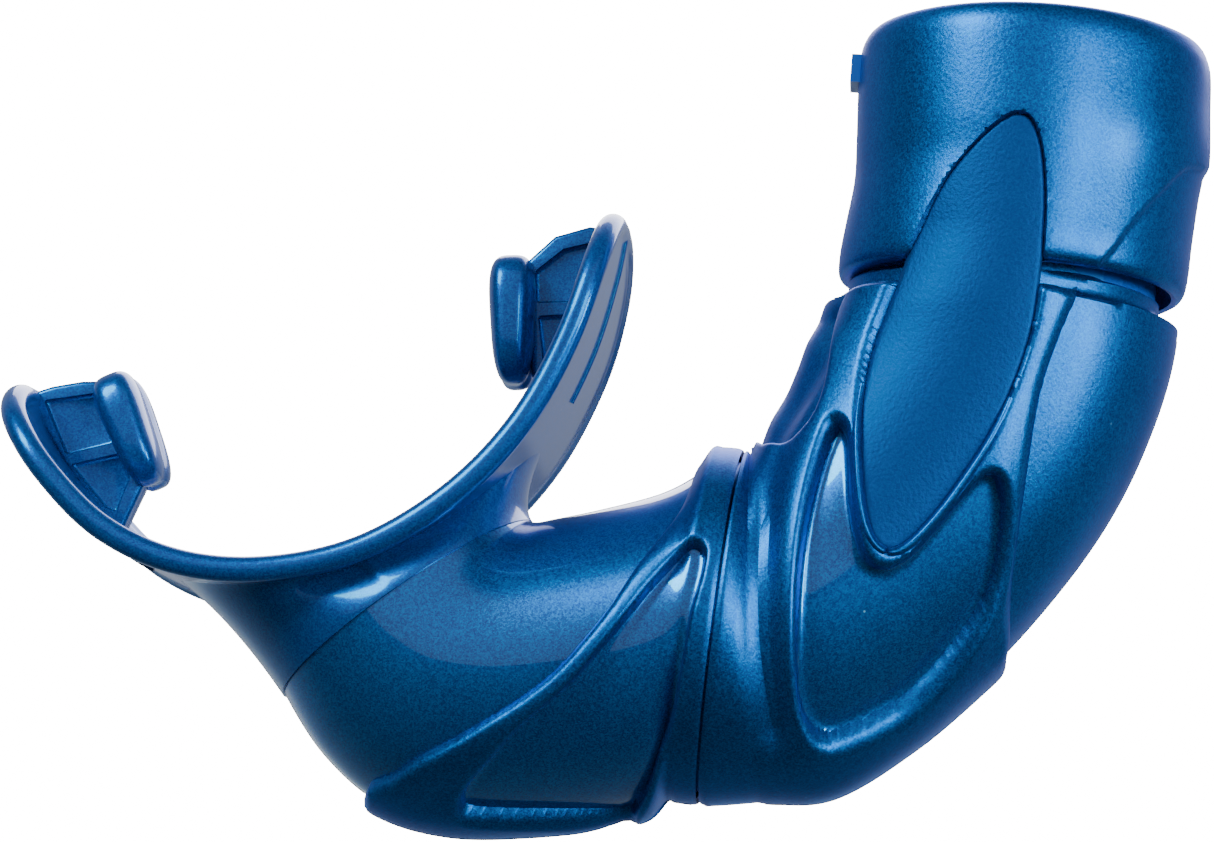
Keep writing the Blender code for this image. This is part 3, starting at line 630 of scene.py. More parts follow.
def wear_group():
    """Handling wear: a few pale specks of dust and faint rubbed patches over any colour."""
    tree, given, out = group(
        "Dust and rubbing",
        [("Color", "NodeSocketColor", (0.1, 0.1, 0.1, 1)), ("Roughness", "NodeSocketFloat", 0.3),
         ("Specks", "NodeSocketFloat", 0.5), ("Rubbing", "NodeSocketFloat", 0.05)],
        [("Color", "NodeSocketColor"), ("Roughness", "NodeSocketFloat")],
    )
    place = node(tree, "ShaderNodeTexCoord").outputs["Object"]
    cells = node(tree, "ShaderNodeTexVoronoi", {"feature": "F1"}, Vector=place, Scale=260.0)
    near = node(tree, "ShaderNodeMapRange", Value=cells.outputs["Distance"],
                _1=0.025, _2=0.045, _3=1.0, _4=0.0)
    chance = node(tree, "ShaderNodeSeparateColor", Color=cells.outputs["Color"]).outputs[1]
    few = maths(tree, "GREATER_THAN", chance, 0.8)
    speck = maths(tree, "MULTIPLY", maths(tree, "MULTIPLY", near.outputs[0], few), given.outputs["Specks"])
    patches = node(tree, "ShaderNodeTexNoise", Vector=place, Scale=90.0, Detail=6.0, Roughness=0.7)
    patch = node(tree, "ShaderNodeMapRange", _1=0.55, _2=0.8, Value=patches.outputs["Fac"])
    rubbed = maths(tree, "MULTIPLY", patch.outputs[0], given.outputs["Rubbing"])
    colour = node(tree, "ShaderNodeMix", {"data_type": "RGBA"}, _0=speck)
    tree.links.new(given.outputs["Color"], colour.inputs[6])
    colour.inputs[7].default_value = (0.75, 0.8, 0.86, 1)
    rough = maths(tree, "ADD", given.outputs["Roughness"], rubbed)
    rough = maths(tree, "ADD", rough, maths(tree, "MULTIPLY", speck, 0.4))
    tree.links.new(colour.outputs[2], out.inputs["Color"])
    tree.links.new(rough, out.inputs["Roughness"])
    return tree


def grain_group():
    """Moulded surface: fine eroded grain as a normal, and a slow drift in roughness."""
    tree, given, out = group(
        "Moulded grain",
        [("Scale", "NodeSocketFloat", 1800.0), ("Depth", "NodeSocketFloat", 0.15),
         ("Roughness", "NodeSocketFloat", 0.4)],
        [("Roughness", "NodeSocketFloat"), ("Normal", "NodeSocketVector"), ("Mask", "NodeSocketFloat")],
    )
    place = node(tree, "ShaderNodeTexCoord").outputs["Object"]
    noise = node(tree, "ShaderNodeTexNoise", Vector=place, Scale=given.outputs["Scale"], Detail=3.0)
    slow = node(tree, "ShaderNodeTexNoise", Vector=place, Scale=70.0, Detail=2.0)
    bump = node(tree, "ShaderNodeBump", Height=noise.outputs["Fac"], Strength=given.outputs["Depth"])
    bump.inputs["Distance"].default_value = 0.00015
    drift = maths(tree, "MULTIPLY_ADD", slow.outputs["Fac"], 0.12, -0.06)
    tree.links.new(maths(tree, "ADD", drift, given.outputs["Roughness"]), out.inputs["Roughness"])
    tree.links.new(bump.outputs[0], out.inputs["Normal"])
    tree.links.new(slow.outputs["Fac"], out.inputs["Mask"])
    return tree


def new_material(name):
    made = bpy.data.materials.new(name)
    made.use_nodes = True
    return made, made.node_tree, made.node_tree.nodes["Principled BSDF"]


def place_group(tree, name, **inputs):
    made = tree.nodes.new("ShaderNodeGroup")
    made.node_tree = bpy.data.node_groups[name]
    for label, value in inputs.items():
        socket = made.inputs[label.replace("_", " ")]
        if isinstance(value, bpy.types.NodeSocket):
            tree.links.new(value, socket)
        else:
            socket.default_value = value
    return made


def set_shader(shader, **values):
    for label, value in values.items():
        shader.inputs[label.replace("_", " ")].default_value = value


def painted(name, deep, bright, roughness, grain, wear, **shader_values):
    """A pearl-painted finish from the shared groups."""
    _, tree, shader = new_material(name)
    pearl = place_group(
        tree, "Pearl flake", Deep=(*deep, 1), Bright=(*bright, 1), Grain=grain, Roughness=roughness
    )
    worn = place_group(
        tree, "Dust and rubbing", Color=pearl.outputs["Color"], Roughness=pearl.outputs["Roughness"],
        Specks=wear[0], Rubbing=wear[1],
    )
    tree.links.new(worn.outputs["Color"], shader.inputs["Base Color"])
    tree.links.new(worn.outputs["Roughness"], shader.inputs["Roughness"])
    tree.links.new(pearl.outputs["Normal"], shader.inputs["Normal"])
    set_shader(shader, **shader_values)


def moulded(name, colour, shade, scale, depth, roughness, **shader_values):
    """Unpainted moulded plastic or rubber."""
    _, tree, shader = new_material(name)
    grain = place_group(tree, "Moulded grain", Scale=scale, Depth=depth, Roughness=roughness)
    mix = node(tree, "ShaderNodeMix", {"data_type": "RGBA"}, _0=grain.outputs["Mask"])
    mix.inputs[6].default_value = (*colour, 1)
    mix.inputs[7].default_value = (*shade, 1)
    worn = place_group(
        tree, "Dust and rubbing", Color=mix.outputs[2], Roughness=grain.outputs["Roughness"],
        Specks=0.3, Rubbing=0.08,
    )
    tree.links.new(worn.outputs["Color"], shader.inputs["Base Color"])
    tree.links.new(worn.outputs["Roughness"], shader.inputs["Roughness"])
    tree.links.new(grain.outputs["Normal"], shader.inputs["Normal"])
    set_shader(shader, **shader_values)


def mixed(first, second, share):
    return tuple(a + (b - a) * share for a, b in zip(first, second))


class SNORKEL_OT_finishes(bpy.types.Operator):
    """Pearl paint, plate paint, soft moulding, bare plastic, seal rubber and ring plastic"""

    bl_idname = "snorkel.finishes"
    bl_label = "Finishes"

    def execute(self, context):
        colours = context.scene.snorkel_colours
        deep, bright, edge = tuple(colours.deep), tuple(colours.bright), tuple(colours.edge)
        pearl_group()
        wear_group()
        grain_group()
        plate, raw = tuple(colours.plate), tuple(colours.raw)
        tint = (*edge, 1)
        painted("pearl_satin", deep, bright, 0.36, 0.25, (0.25, 0.03),
                Metallic=0.9, Specular_Tint=tint, Coat_Weight=0.3, Coat_Roughness=0.32,
                Sheen_Weight=0.35, Sheen_Roughness=0.25, Sheen_Tint=tint)
        painted("pearl_gloss", deep, bright, 0.28, 0.08, (0.5, 0.02),
                Metallic=0.75, Specular_Tint=tint, Coat_Weight=1.0, Coat_Roughness=0.05, Coat_IOR=1.65)
        painted("plate_paint", mixed(deep, plate, 0.8), mixed(bright, plate, 0.8), 0.46, 0.5, (0.2, 0.05),
                Metallic=0.6, Specular_Tint=tint, Coat_Weight=0.1, Coat_Roughness=0.4)
        painted("soft_gloss", deep, mixed(deep, bright, 0.7), 0.3, 0.12, (0.4, 0.02),
                Metallic=0.55, Specular_Tint=tint, Coat_Weight=0.8, Coat_Roughness=0.09)
        moulded("bare_plastic", raw, mixed(raw, deep, 0.4), 1500.0, 0.2, 0.36)
        moulded("mould_line", mixed(raw, deep, 0.8), mixed(deep, (0, 0, 0), 0.2), 2500.0, 0.3, 0.4)
        moulded("seal_rubber", (0.012, 0.012, 0.014), (0.02, 0.02, 0.022), 1400.0, 0.3, 0.55)
        moulded("ring_plastic", (0.66, 0.68, 0.70), (0.58, 0.60, 0.62), 1200.0, 0.15, 0.4)
        return {"FINISHED"}


class SNORKEL_OT_carried_parts(bpy.types.Operator):
    """Finishes for the parts that keep the frame's own shape: socket, sleeve, spigot, seals and ring"""

    bl_idname = "snorkel.carried_parts"
    bl_label = "Carried Parts"

    def execute(self, context):
        finish_of = {
            "barrel_socket": "bare_plastic", "swivel_sleeve": "bare_plastic",
            "swivel_spigot": "bare_plastic", "barrel_seal": "seal_rubber",
            "spigot_seal": "seal_rubber", "retaining_ring": "ring_plastic",
        }
        for name, finish in finish_of.items():
            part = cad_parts[name]
            part.data.materials.clear()
            part.data.materials.append(bpy.data.materials[finish])
        return {"FINISHED"}


# ---------------------------------------------------------------- elbow body


class SNORKEL_OT_collar(bpy.types.Operator):
    """Waisted collar that closes round the barrel, with a notch for each plate"""

    bl_idname = "snorkel.collar"
    bl_label = "Collar"

    AROUND = 360
    UP = 84
    NOTCH_DEPTH = 1.7
    NOTCH_EDGE = -0.2
    FACET_DEPTH = 0.5

    def execute(self, context):
        outside = [(shift, z, -90.0, COLLAR_R + more, COLLAR_R + more) for z, shift, more in COLLAR]
        rim = [(0.0, z, -90.0, r, r) for z, r in ((24.9, COLLAR_LIP_R), (24.4, COLLAR_BORE_R + 0.1))]
        bore = [(0.0, z, -90.0, COLLAR_BORE_R, COLLAR_BORE_R) for z in (23.0, 12.0, 1.0, -2.4)]
        foot = [(-0.6, -3.1, -90.0, COLLAR_FOOT_R, COLLAR_FOOT_R)]
        outer_rows = evenly(smooth_curve(outside, 10), self.UP)
        loop = np.vstack([outer_rows, rim, bore, foot, outer_rows[:1]])
        outer_count = len(outer_rows)

        piece, across, along = flat_grid("collar", self.AROUND, len(loop) - 1)
        index = along * (len(loop) - 1)
        on_outside = (index < outer_count - 0.5) | (index > len(loop) - 1.5)
        for outline, level in ((PLATE_LINE, self.NOTCH_EDGE), (FACET_LINE, 0.0)):
            field = functools.partial(inside_distance, outline)
            new_across, new_along = aligned(loop, self.AROUND, across, along, field, level)
            across = np.where(on_outside, new_across, across)
            along = np.where(on_outside, new_along, along)
        base, outward = on_sections(rows_at(loop, along), across * TAU)
        notch = -self.NOTCH_DEPTH * rounded(inside_distance(PLATE_LINE, base) - self.NOTCH_EDGE, 0.45)
        facet = -self.FACET_DEPTH * ease(inside_distance(FACET_LINE, base) / 0.6)
        lift = np.where(on_outside, notch + facet, 0.0)
        place_points(piece, base + outward * lift[:, None])
        weld(piece)
        turn_outward(piece)
        finish_piece(piece, "pearl_satin", "elbow", "matte", "barrel_collar")
        return {"FINISHED"}


def elbow_tube_lift(base):
    """Groove under the collar, the valley on the inside of the bend and the windows' floors."""
    z = base[:, 2]
    groove = -2.3 * rounded(z + 6.5, 0.9)
    under_collar = -1.0 * ease((z + 4.0) / 0.5)
    valley = -1.1 * hump(line_distance(smooth_curve(INNER_VALLEY, 4), base), 1.6)
    floor = -WINDOW_DEPTH * ease((inside_distance(WINDOW_LINE, base) + 0.6) / 1.2)
    return groove + under_collar + valley * ease((-5.5 - z) / 3) + floor


class SNORKEL_OT_elbow_tube(bpy.types.Operator):
    """Glossy bent tube with the neck that the mouthpiece laps"""

    bl_idname = "snorkel.elbow_tube"
    bl_label = "Elbow Tube"

    AROUND = 240
    ALONG = 160

    def execute(self, context):
        bend = bend_sections(BEND[0][0], BEND[-1][0], self.ALONG)
        neck = np.array([swivel_section(w, TUBE_R) for w in (NECK_START, 2.2, NECK_END)])
        between = [bend[-1] + (neck[0] - bend[-1]) * share for share in np.linspace(0, 1, 8)[1:-1]]
        rows = np.vstack([bend, between, neck])
        piece = wrapped("elbow_tube", rows, self.AROUND, elbow_tube_lift,
                        keep_of=lambda base: base[:, 2] < -2.2)
        glossy_inside(piece, WINDOW_LINE, "pearl_satin", "pearl_gloss")
        wall(piece, ELBOW_WALL)
        finish_piece(piece, "pearl_satin", "elbow", "gloss", "elbow_shell")
        return {"FINISHED"}


def swivel_distance(points):
    """Distance along the swivel's axis, towards the mouth."""
    tilt = math.radians(SWIVEL_TILT)
    x, z = points[:, 0], points[:, 2]
    return (SWIVEL_CENTRE[0] - x) * math.cos(tilt) + (z - SWIVEL_CENTRE[1]) * math.sin(tilt)


def elbow_rib_distance(base):
    """How far inside the ribs a point is, clear of the window and the plate."""
    ribs = inside_distance(RIBS_LINE, base)
    window = -inside_distance(WINDOW_LINE, base)
    plate = -inside_distance(PLATE_LINE, base) + 0.1
    return np.minimum(np.minimum(ribs, window), plate)


def inner_side(base):
    """0 on the flanks and the outside of the bend, 1 along its inside."""
    table = smooth_curve(BEND, 12)
    angle = bend_angle(base)
    distance, wider = (np.interp(angle, table[:, 0], table[:, k]) for k in (1, 2))
    away = np.hypot(base[:, 0] - BEND_CENTRE[0], base[:, 2] - BEND_CENTRE[1]) - distance
    return ease((-away / (TUBE_R + wider) - 0.72) / 0.22)


def elbow_rib_shape(base, rise, radius):
    """Height of the ribs' tops over the tube, and the share of it at each point of their rounded walls."""
    right = line_distance(RIGHT_EDGE, base)
    plate = 0.1 - inside_distance(PLATE_LINE, base)
    flank = ease((np.abs(base[:, 1]) - 5) / 7)
    seam = RIB_SEAM - swivel_distance(base)
    top = rise * (1 - 0.55 * (1 - ease(right / 4.5)) * flank)
    top = top - (rise + 0.1) * hump(line_distance(BAND_LINE, base), 2.0) * flank
    top = top * (1 - inner_side(base) * ease((seam - 0.5) / 2.5))
    top = top - 0.7 * (1 - rounded(seam + 0.1, 0.8))
    top = top - 1.7 * (1 - rounded(plate - RIB_BORDER, 1.0))
    border = np.minimum(inside_distance(RIBS_LINE, base), -inside_distance(WINDOW_LINE, base))
    soft = radius + 0.8 * (1 - ease((right - 1.0) / 1.5)) * flank
    return top, rounded(border - RIB_BORDER, soft)


class SNORKEL_OT_elbow_ribs(bpy.types.Operator):
    """Raised ribs over the elbow: the upright, the window's frame and the band under the bend"""

    bl_idname = "snorkel.elbow_ribs"
    bl_label = "Elbow Ribs"

    AROUND = 320
    ALONG = 220

    def execute(self, context):
        sizes = context.scene.snorkel_sizes
        rise, radius = sizes.rib_rise / MM, sizes.rib_round / MM
        bend = bend_sections(-3.0, BEND[-1][0], self.ALONG)
        last = np.array(swivel_section(RIB_SEAM, TUBE_R + 0.1))
        end = [bend[-1] + (last - bend[-1]) * share for share in np.linspace(0, 1, 10)[1:]]

        def lift(base):
            top, share = elbow_rib_shape(base, rise, radius)
            return -RIB_SINK + (top + RIB_SINK) * share

        edges = ((elbow_rib_distance, RIB_BORDER), (elbow_rib_distance, 0.15))
        piece = wrapped("elbow_ribs", np.vstack([bend, end]), self.AROUND, lift, edges,
                        lambda base: elbow_rib_distance(base) > RIB_BORDER + 0.01)
        wall(piece, ELBOW_RIB_WALL)
        finish_piece(piece, "pearl_satin", "elbow", "matte", "elbow_frame")
        return {"FINISHED"}


def plate_depth(x, z):
    """Half depth of a plate's face: on the collar above, on the elbow below."""
    on_collar = np.sqrt(np.maximum((COLLAR_R - 0.45) ** 2 - (x + 0.6) ** 2, 1.0))
    on_elbow = elbow_depth(x, z, 0.75)
    share = ease((z + 9.0) / 10.0)
    return on_elbow + (on_collar - on_elbow) * share


def both_sides(make):
    """Makes a piece on each flank."""
    for side, word in ((-1, "front"), (1, "back")):
        make(side, word)


class SNORKEL_OT_plates(bpy.types.Operator):
    """Lens-shaped plate on each side, left plain"""

    bl_idname = "snorkel.plates"
    bl_label = "Plates"

    ACROSS = 56
    ALONG = 220

    def execute(self, context):
        both_sides(self.make)
        return {"FINISHED"}

    def make(self, side, word):
        piece, across, along = flat_grid("plate_" + word, self.ACROSS, self.ALONG)
        tip = int(np.argmin(PLATE_LINE[:, 1]))
        left = evenly(PLATE_LINE[:tip + 1], self.ALONG + 1)
        right = evenly(np.vstack([PLATE_LINE[tip:], PLATE_LINE[:1]])[::-1], self.ALONG + 1)
        row = np.rint(along * self.ALONG).astype(int)
        place = left[row] + (right[row] - left[row]) * across[:, None]
        inside = np.maximum(inside_distance(PLATE_LINE, place), 0)
        edge = 0.7 * (1 - rounded(inside + 0.03, 0.45))
        y = side * (plate_depth(place[:, 0], place[:, 1]) - edge)
        place_points(piece, np.column_stack([place[:, 0], y, place[:, 1]]))
        face_with(piece, np.tile((0.0, side, 0.0), (len(y), 1)))
        weld(piece)
        wall(piece, PLATE_WALL)
        finish_piece(piece, "plate_paint", "elbow", "plate", "name_plate_" + word)


class SNORKEL_OT_beads(bpy.types.Operator):
    """Rounded bead round the lower part of each plate, with its mitre at the tip"""

    bl_idname = "snorkel.beads"
    bl_label = "Plate Beads"

    ACROSS = 14
    ALONG = 320
    TOP = -17.0  # height where the bead starts on either side of the plate
    LAP = 0.4  # how far it reaches over the plate's edge
    FADE = 6.0  # length over which its ends sink
    END_RISE = 1.1
    ROOT = -0.9
    MITRE = 0.7

    def execute(self, context):
        sizes = context.scene.snorkel_sizes
        self.width, self.rise = sizes.bead_width / MM, sizes.bead_rise / MM
        both_sides(self.make)
        return {"FINISHED"}

    def make(self, side, word):
        piece, across, along = flat_grid("plate_bead_" + word, self.ACROSS, self.ALONG)
        low = PLATE_LINE[PLATE_LINE[:, 1] < self.TOP]
        path = evenly(low, self.ALONG + 1)
        run = np.gradient(path, axis=0)
        run /= np.linalg.norm(run, axis=1, keepdims=True)
        away = np.column_stack([-run[:, 1], run[:, 0]])
        if (away * (path - PLATE_LINE.mean(axis=0))).sum() < 0:
            away = -away
        row = np.rint(along * self.ALONG).astype(int)
        place = path[row] + away[row] * (across * self.width - self.LAP)[:, None]
        tip = np.argmin(path[:, 1]) / self.ALONG
        mitre = self.MITRE * hump(along - tip, 0.0035)
        crown = np.sqrt(np.clip(1 - (2 * across - 1) ** 2 * 0.97, 0, 1))
        ends = np.minimum(along, 1 - along) * travelled(path)[-1]
        peak = self.END_RISE + (self.rise - self.END_RISE) * ease(ends / self.FADE) - mitre
        lift = self.ROOT + (peak - self.ROOT) * crown
        y = side * elbow_depth(place[:, 0], place[:, 1], lift)
        place_points(piece, np.column_stack([place[:, 0], y, place[:, 1]]))
        face_with(piece, np.tile((0.0, side, 0.0), (len(y), 1)))
        wall(piece, BEAD_WALL)
        finish_piece(piece, "pearl_satin", "elbow", "matte", "plate_bezel_" + word)


# ---------------------------------------------------------------- mouthpiece body


class SNORKEL_OT_bowl(bpy.types.Operator):
    """Glossy bowl between the swivel and the soft neck"""

    bl_idname = "snorkel.bowl"
    bl_label = "Bowl"

    AROUND = 240
    ALONG = 110

    def execute(self, context):
        rows = mouth_sections(BOWL_START, self.ALONG)
        end = rows[-1]
        tuck = [end + (on * BOWL_END_AXIS[0], on * BOWL_END_AXIS[1], 0.0, -drop, -drop)
                for on, drop in ((0.25, 0.12), (0.42, 0.4), (0.46, 0.9), (0.3, 1.5))]

        def lift(base):
            return -0.6 * ease((inside_distance(TRIANGLE_LINE, base) + 0.6) / 1.2)

        piece = wrapped("bowl", np.vstack([rows, tuck]), self.AROUND, lift)
        wall(piece, BOWL_WALL)
        finish_piece(piece, "pearl_gloss", "mouthpiece", "gloss", "mouthpiece_shell")
        return {"FINISHED"}


def mouth_rib_shape(base, rise, radius):
    """The same two for the mouthpiece's ribs, which slope towards their window."""
    ribs = inside_distance(MOUTH_RIBS_LINE, base)
    window = -inside_distance(TRIANGLE_LINE, base)
    flank = ease((np.abs(base[:, 1]) - 5) / 7)
    soft = radius + 3.4 * ease((base[:, 2] + 42.0) / 12.0)
    slope = 0.3 * ease((ribs - radius) / 3.2) * ease((-34.0 - base[:, 0]) / 3.0) * flank
    top = rise * (1 - slope) - 0.35 * (1 - rounded(swivel_distance(base) - LAP_START + 0.1, 0.8))
    top = np.maximum(top * rounded(ribs - RIB_BORDER, soft), 0.15)
    return top, rounded(np.minimum(ribs, window) - RIB_BORDER, 0.7)


class SNORKEL_OT_mouth_ribs(bpy.types.Operator):
    """A-shaped ribs on the bowl, ending in the collar that laps the elbow's neck"""

    bl_idname = "snorkel.mouth_ribs"
    bl_label = "Mouthpiece Ribs"

    AROUND = 320
    ALONG = 150

    def execute(self, context):
        sizes = context.scene.snorkel_sizes
        rise, radius = sizes.rib_rise / MM, sizes.rib_round / MM

        def lift(base):
            top, share = mouth_rib_shape(base, rise, radius)
            return -RIB_SINK / 2 + (top + RIB_SINK / 2) * share

        def inside(base):
            return np.minimum(inside_distance(MOUTH_RIBS_LINE, base), -inside_distance(TRIANGLE_LINE, base))

        piece = wrapped("mouth_ribs", mouth_sections(LAP_START, self.ALONG), self.AROUND, lift,
                        ((inside, RIB_BORDER), (inside, 0.1)), lambda base: inside(base) > RIB_BORDER + 0.01)
        wall(piece, MOUTH_RIB_WALL)
        finish_piece(piece, "pearl_satin", "mouthpiece", "matte", "mouthpiece_frame")
        return {"FINISHED"}


# ---------------------------------------------------------------- lip flange and soft neck


FLANGE_CURVE = evenly(smooth_curve(FLANGE_LINE, 12), 400)
FLANGE_LENGTH = travelled(FLANGE_CURVE)[-1]
FLANGE_HALF = 17.9
TIP_LENGTH = 15.0


def flange_place(distance):
    """Point in plan on the flange's middle surface, its outward normal and the way the flange runs."""
    point = at_distance(FLANGE_CURVE, distance)
    ahead = at_distance(FLANGE_CURVE, np.minimum(distance + 0.3, FLANGE_LENGTH))
    behind = at_distance(FLANGE_CURVE, np.maximum(distance - 0.3, 0))
    run = ahead - behind
    run /= np.linalg.norm(run, axis=1, keepdims=True)
    return point, np.column_stack([run[:, 1], -run[:, 0]]), run


def flange_half(distance):
    """Half height of the flange at a distance from its left tip."""
    from_tip = np.minimum(distance, FLANGE_LENGTH - distance)
    share = np.clip(1 - from_tip / TIP_LENGTH, 0, 1)
    return FLANGE_HALF * (1 - share**2.4) ** (1 / 2.4)


def distance_of(point):
    """Distance along the flange to the place nearest a point in plan."""
    nearest = np.argmin(np.linalg.norm(FLANGE_CURVE - np.array(point), axis=1))
    return travelled(FLANGE_CURVE)[nearest]


def on_flange(distance, y, offset):
    """Points at a distance along the flange and a height y, off its middle surface."""
    point, normal, _ = flange_place(distance)
    place = point + normal * np.asarray(offset).reshape(-1, 1)
    return np.column_stack([place[:, 0], y, place[:, 1]])


class SNORKEL_OT_lip_flange(bpy.types.Operator):
    """Curved lip flange with a rolled rim and the oval airway through it"""

    bl_idname = "snorkel.lip_flange"
    bl_label = "Lip Flange"

    ACROSS = 64
    ALONG = 230
    RIM_WIDTH = 2.7

    def execute(self, context):
        sizes = context.scene.snorkel_sizes
        sheet, rim = sizes.flange_thick / MM / 2, sizes.rim_thick / MM / 2
        steps = np.linspace(0, FLANGE_LENGTH, 400)
        upper = np.column_stack([steps, flange_half(steps)])
        lower = upper * (1, -1)
        outline = np.vstack([upper, lower[-2:0:-1]])

        faces = []
        for side in (-1, 1):
            piece, across, along = flat_grid("flange", self.ACROSS, self.ALONG)
            share = 0.55 * np.sin((across - 0.5) * math.pi) + 0.45 * (2 * across - 1)
            crowded = 0.5 - 0.5 * np.cos(along * math.pi)
            distance = FLANGE_LENGTH * (0.6 * crowded + 0.4 * along)
            y = flange_half(distance) * share
            inner = np.maximum(inside_distance(outline, np.column_stack([distance, y])), 0)
            inner[(np.abs(np.abs(share) - 1) < 1e-6) | (along < 1e-6) | (along > 1 - 1e-6)] = 0
            bead = rim * np.sqrt(np.clip(1 - (1 - inner / rim) ** 2, 0, 1)) * (inner < rim)
            blend = ease((inner - self.RIM_WIDTH * 0.55) / (self.RIM_WIDTH * 0.45))
            thick = np.where(inner < rim, bead, rim + (sheet - rim) * blend)
            place_points(piece, on_flange(distance, y, side * thick))
            faces.append(piece)
        deselect_all()
        for piece in faces:
            piece.select_set(True)
        bpy.context.view_layer.objects.active = faces[0]
        bpy.ops.object.join()
        piece = bpy.context.object
        weld(piece)
        turn_outward(piece)

        x, z = MOUTH_CENTRE
        bpy.ops.object.select_all(action="DESELECT")
        bpy.ops.mesh.primitive_cylinder_add(vertices=96, radius=1.0, depth=24 * MM)
        hole = bpy.context.object
        _, normal, run = flange_place(np.array([distance_of(MOUTH_CENTRE)]))
        along_axis = Vector((-run[0, 0], 0, -run[0, 1]))
        out_axis = Vector((normal[0, 0], 0, normal[0, 1]))
        turn = Matrix((along_axis, Vector((0, 1, 0)), out_axis)).transposed().to_4x4()
        scale = Matrix.Diagonal((MOUTH_HALF[0] * MM, MOUTH_HALF[1] * MM, 1, 1))
        hole.data.transform(Matrix.Translation((x * MM, 0, z * MM)) @ turn @ scale)
        cut(piece, hole)
        finish_piece(piece, "soft_gloss", "mouthpiece", "soft", "lip_flange")
        return {"FINISHED"}


class SNORKEL_OT_neck(bpy.types.Operator):
    """Soft neck that flares from the bowl's end into the flange, with a gusset at each end"""

    bl_idname = "snorkel.neck"
    bl_label = "Soft Neck"

    AROUND = 240
    ALONG = 44
    FOOT_HALF = 14.6

    def execute(self, context):
        end = mouth_sections(BOWL_START, 60)[-1:]
        middle = distance_of(MOUTH_CENTRE)
        left, right = distance_of(GUSSET_LEFT), distance_of(GUSSET_RIGHT)
        piece, across, along = flat_grid("soft_neck", self.AROUND, self.ALONG)
        turn = across * TAU
        start, outward = on_sections(np.repeat(end, len(turn), axis=0) + (0, 0, 0, 0.25, 0.25), turn)
        start[:, 0] += 0.2
        start[:, 2] -= 0.25
        cos, sin = np.cos(turn), np.sin(turn)
        reach = np.where(cos > 0, middle - left, right - middle)
        blunt = np.where(cos > 0, 3.2, 1.5)
        distance = middle - cos * reach
        y = np.sign(sin) * self.FOOT_HALF * np.clip(1 - np.abs(cos) ** blunt, 0, 1) ** 0.8
        foot = on_flange(distance, y, 0.5)
        _, normal, run = flange_place(distance)
        away = np.column_stack([-cos * run[:, 0], sin * 0.9, -cos * run[:, 1]])
        away /= np.linalg.norm(away, axis=1, keepdims=True)
        span = np.linalg.norm(foot - start, axis=1, keepdims=True)
        axis = np.array([[BOWL_END_AXIS[0], 0.0, BOWL_END_AXIS[1]]])
        out_of_bowl = axis * span * 0.9
        into_flange = away * span * np.where(cos > 0, 0.9, 0.35)[:, None]
        t = along[:, None]
        place = ((2 * t**3 - 3 * t**2 + 1) * start + (t**3 - 2 * t**2 + t) * out_of_bowl
                 + (3 * t**2 - 2 * t**3) * foot + (t**3 - t**2) * into_flange)
        place_points(piece, place)
        face_with(piece, outward)
        weld(piece)
        wall(piece, NECK_WALL)
        finish_piece(piece, "soft_gloss", "mouthpiece", "soft", "mouth_neck")
        return {"FINISHED"}


def slab(name, outline, half, bevel):
    """A flat plate in the middle plane with rounded edges."""
    deselect_all()
    bpy.ops.mesh.primitive_circle_add(vertices=len(outline), radius=1.0, fill_type="NGON")
    piece = bpy.context.object
    piece.name = name
    piece.data.name = name
    place_points(piece, np.array([(x, -half, z) for x, z in outline]))
    in_edit_mode(piece)
    bpy.ops.mesh.extrude_region_move(TRANSFORM_OT_translate={"value": (0, 2 * half * MM, 0)})
    bpy.ops.mesh.select_all(action="SELECT")
    bpy.ops.mesh.normals_make_consistent(inside=False)
    bpy.ops.object.mode_set(mode="OBJECT")
    rounding = piece.modifiers.new("Rounding", "BEVEL")
    rounding.width = bevel * MM
    rounding.segments = 4
    rounding.limit_method = "ANGLE"
    rounding.angle_limit = math.radians(30)
    apply_modifier(piece, rounding)
    return piece


class SNORKEL_OT_wings(bpy.types.Operator):
    """Bite wings with two recessed panels in each face"""

    bl_idname = "snorkel.wings"
    bl_label = "Bite Wings"

    HALF = 1.7
    EDGE_ROUND = 0.55
    PANEL_DEPTH = 0.75
    CUTTER_HALF = 1.5
    CUTTER_ROUND = 0.45
    WINGS = (("left", LEFT_WING, LEFT_WINDOWS), ("right", RIGHT_WING, RIGHT_WINDOWS))

    def execute(self, context):
        for word, outline, windows in self.WINGS:
            piece = slab("wing_" + word, outline, self.HALF, self.EDGE_ROUND)
            for window in windows:
                for side in (-1, 1):
                    panel = slab("panel", window, self.CUTTER_HALF, self.CUTTER_ROUND)
                    shift = side * (self.HALF - self.PANEL_DEPTH + self.CUTTER_HALF)
                    panel.data.transform(Matrix.Translation((0, shift * MM, 0)))
                    cut(piece, panel)
            finish_piece(piece, "soft_gloss", "mouthpiece", "soft", "bite_wing_" + word)
        return {"FINISHED"}


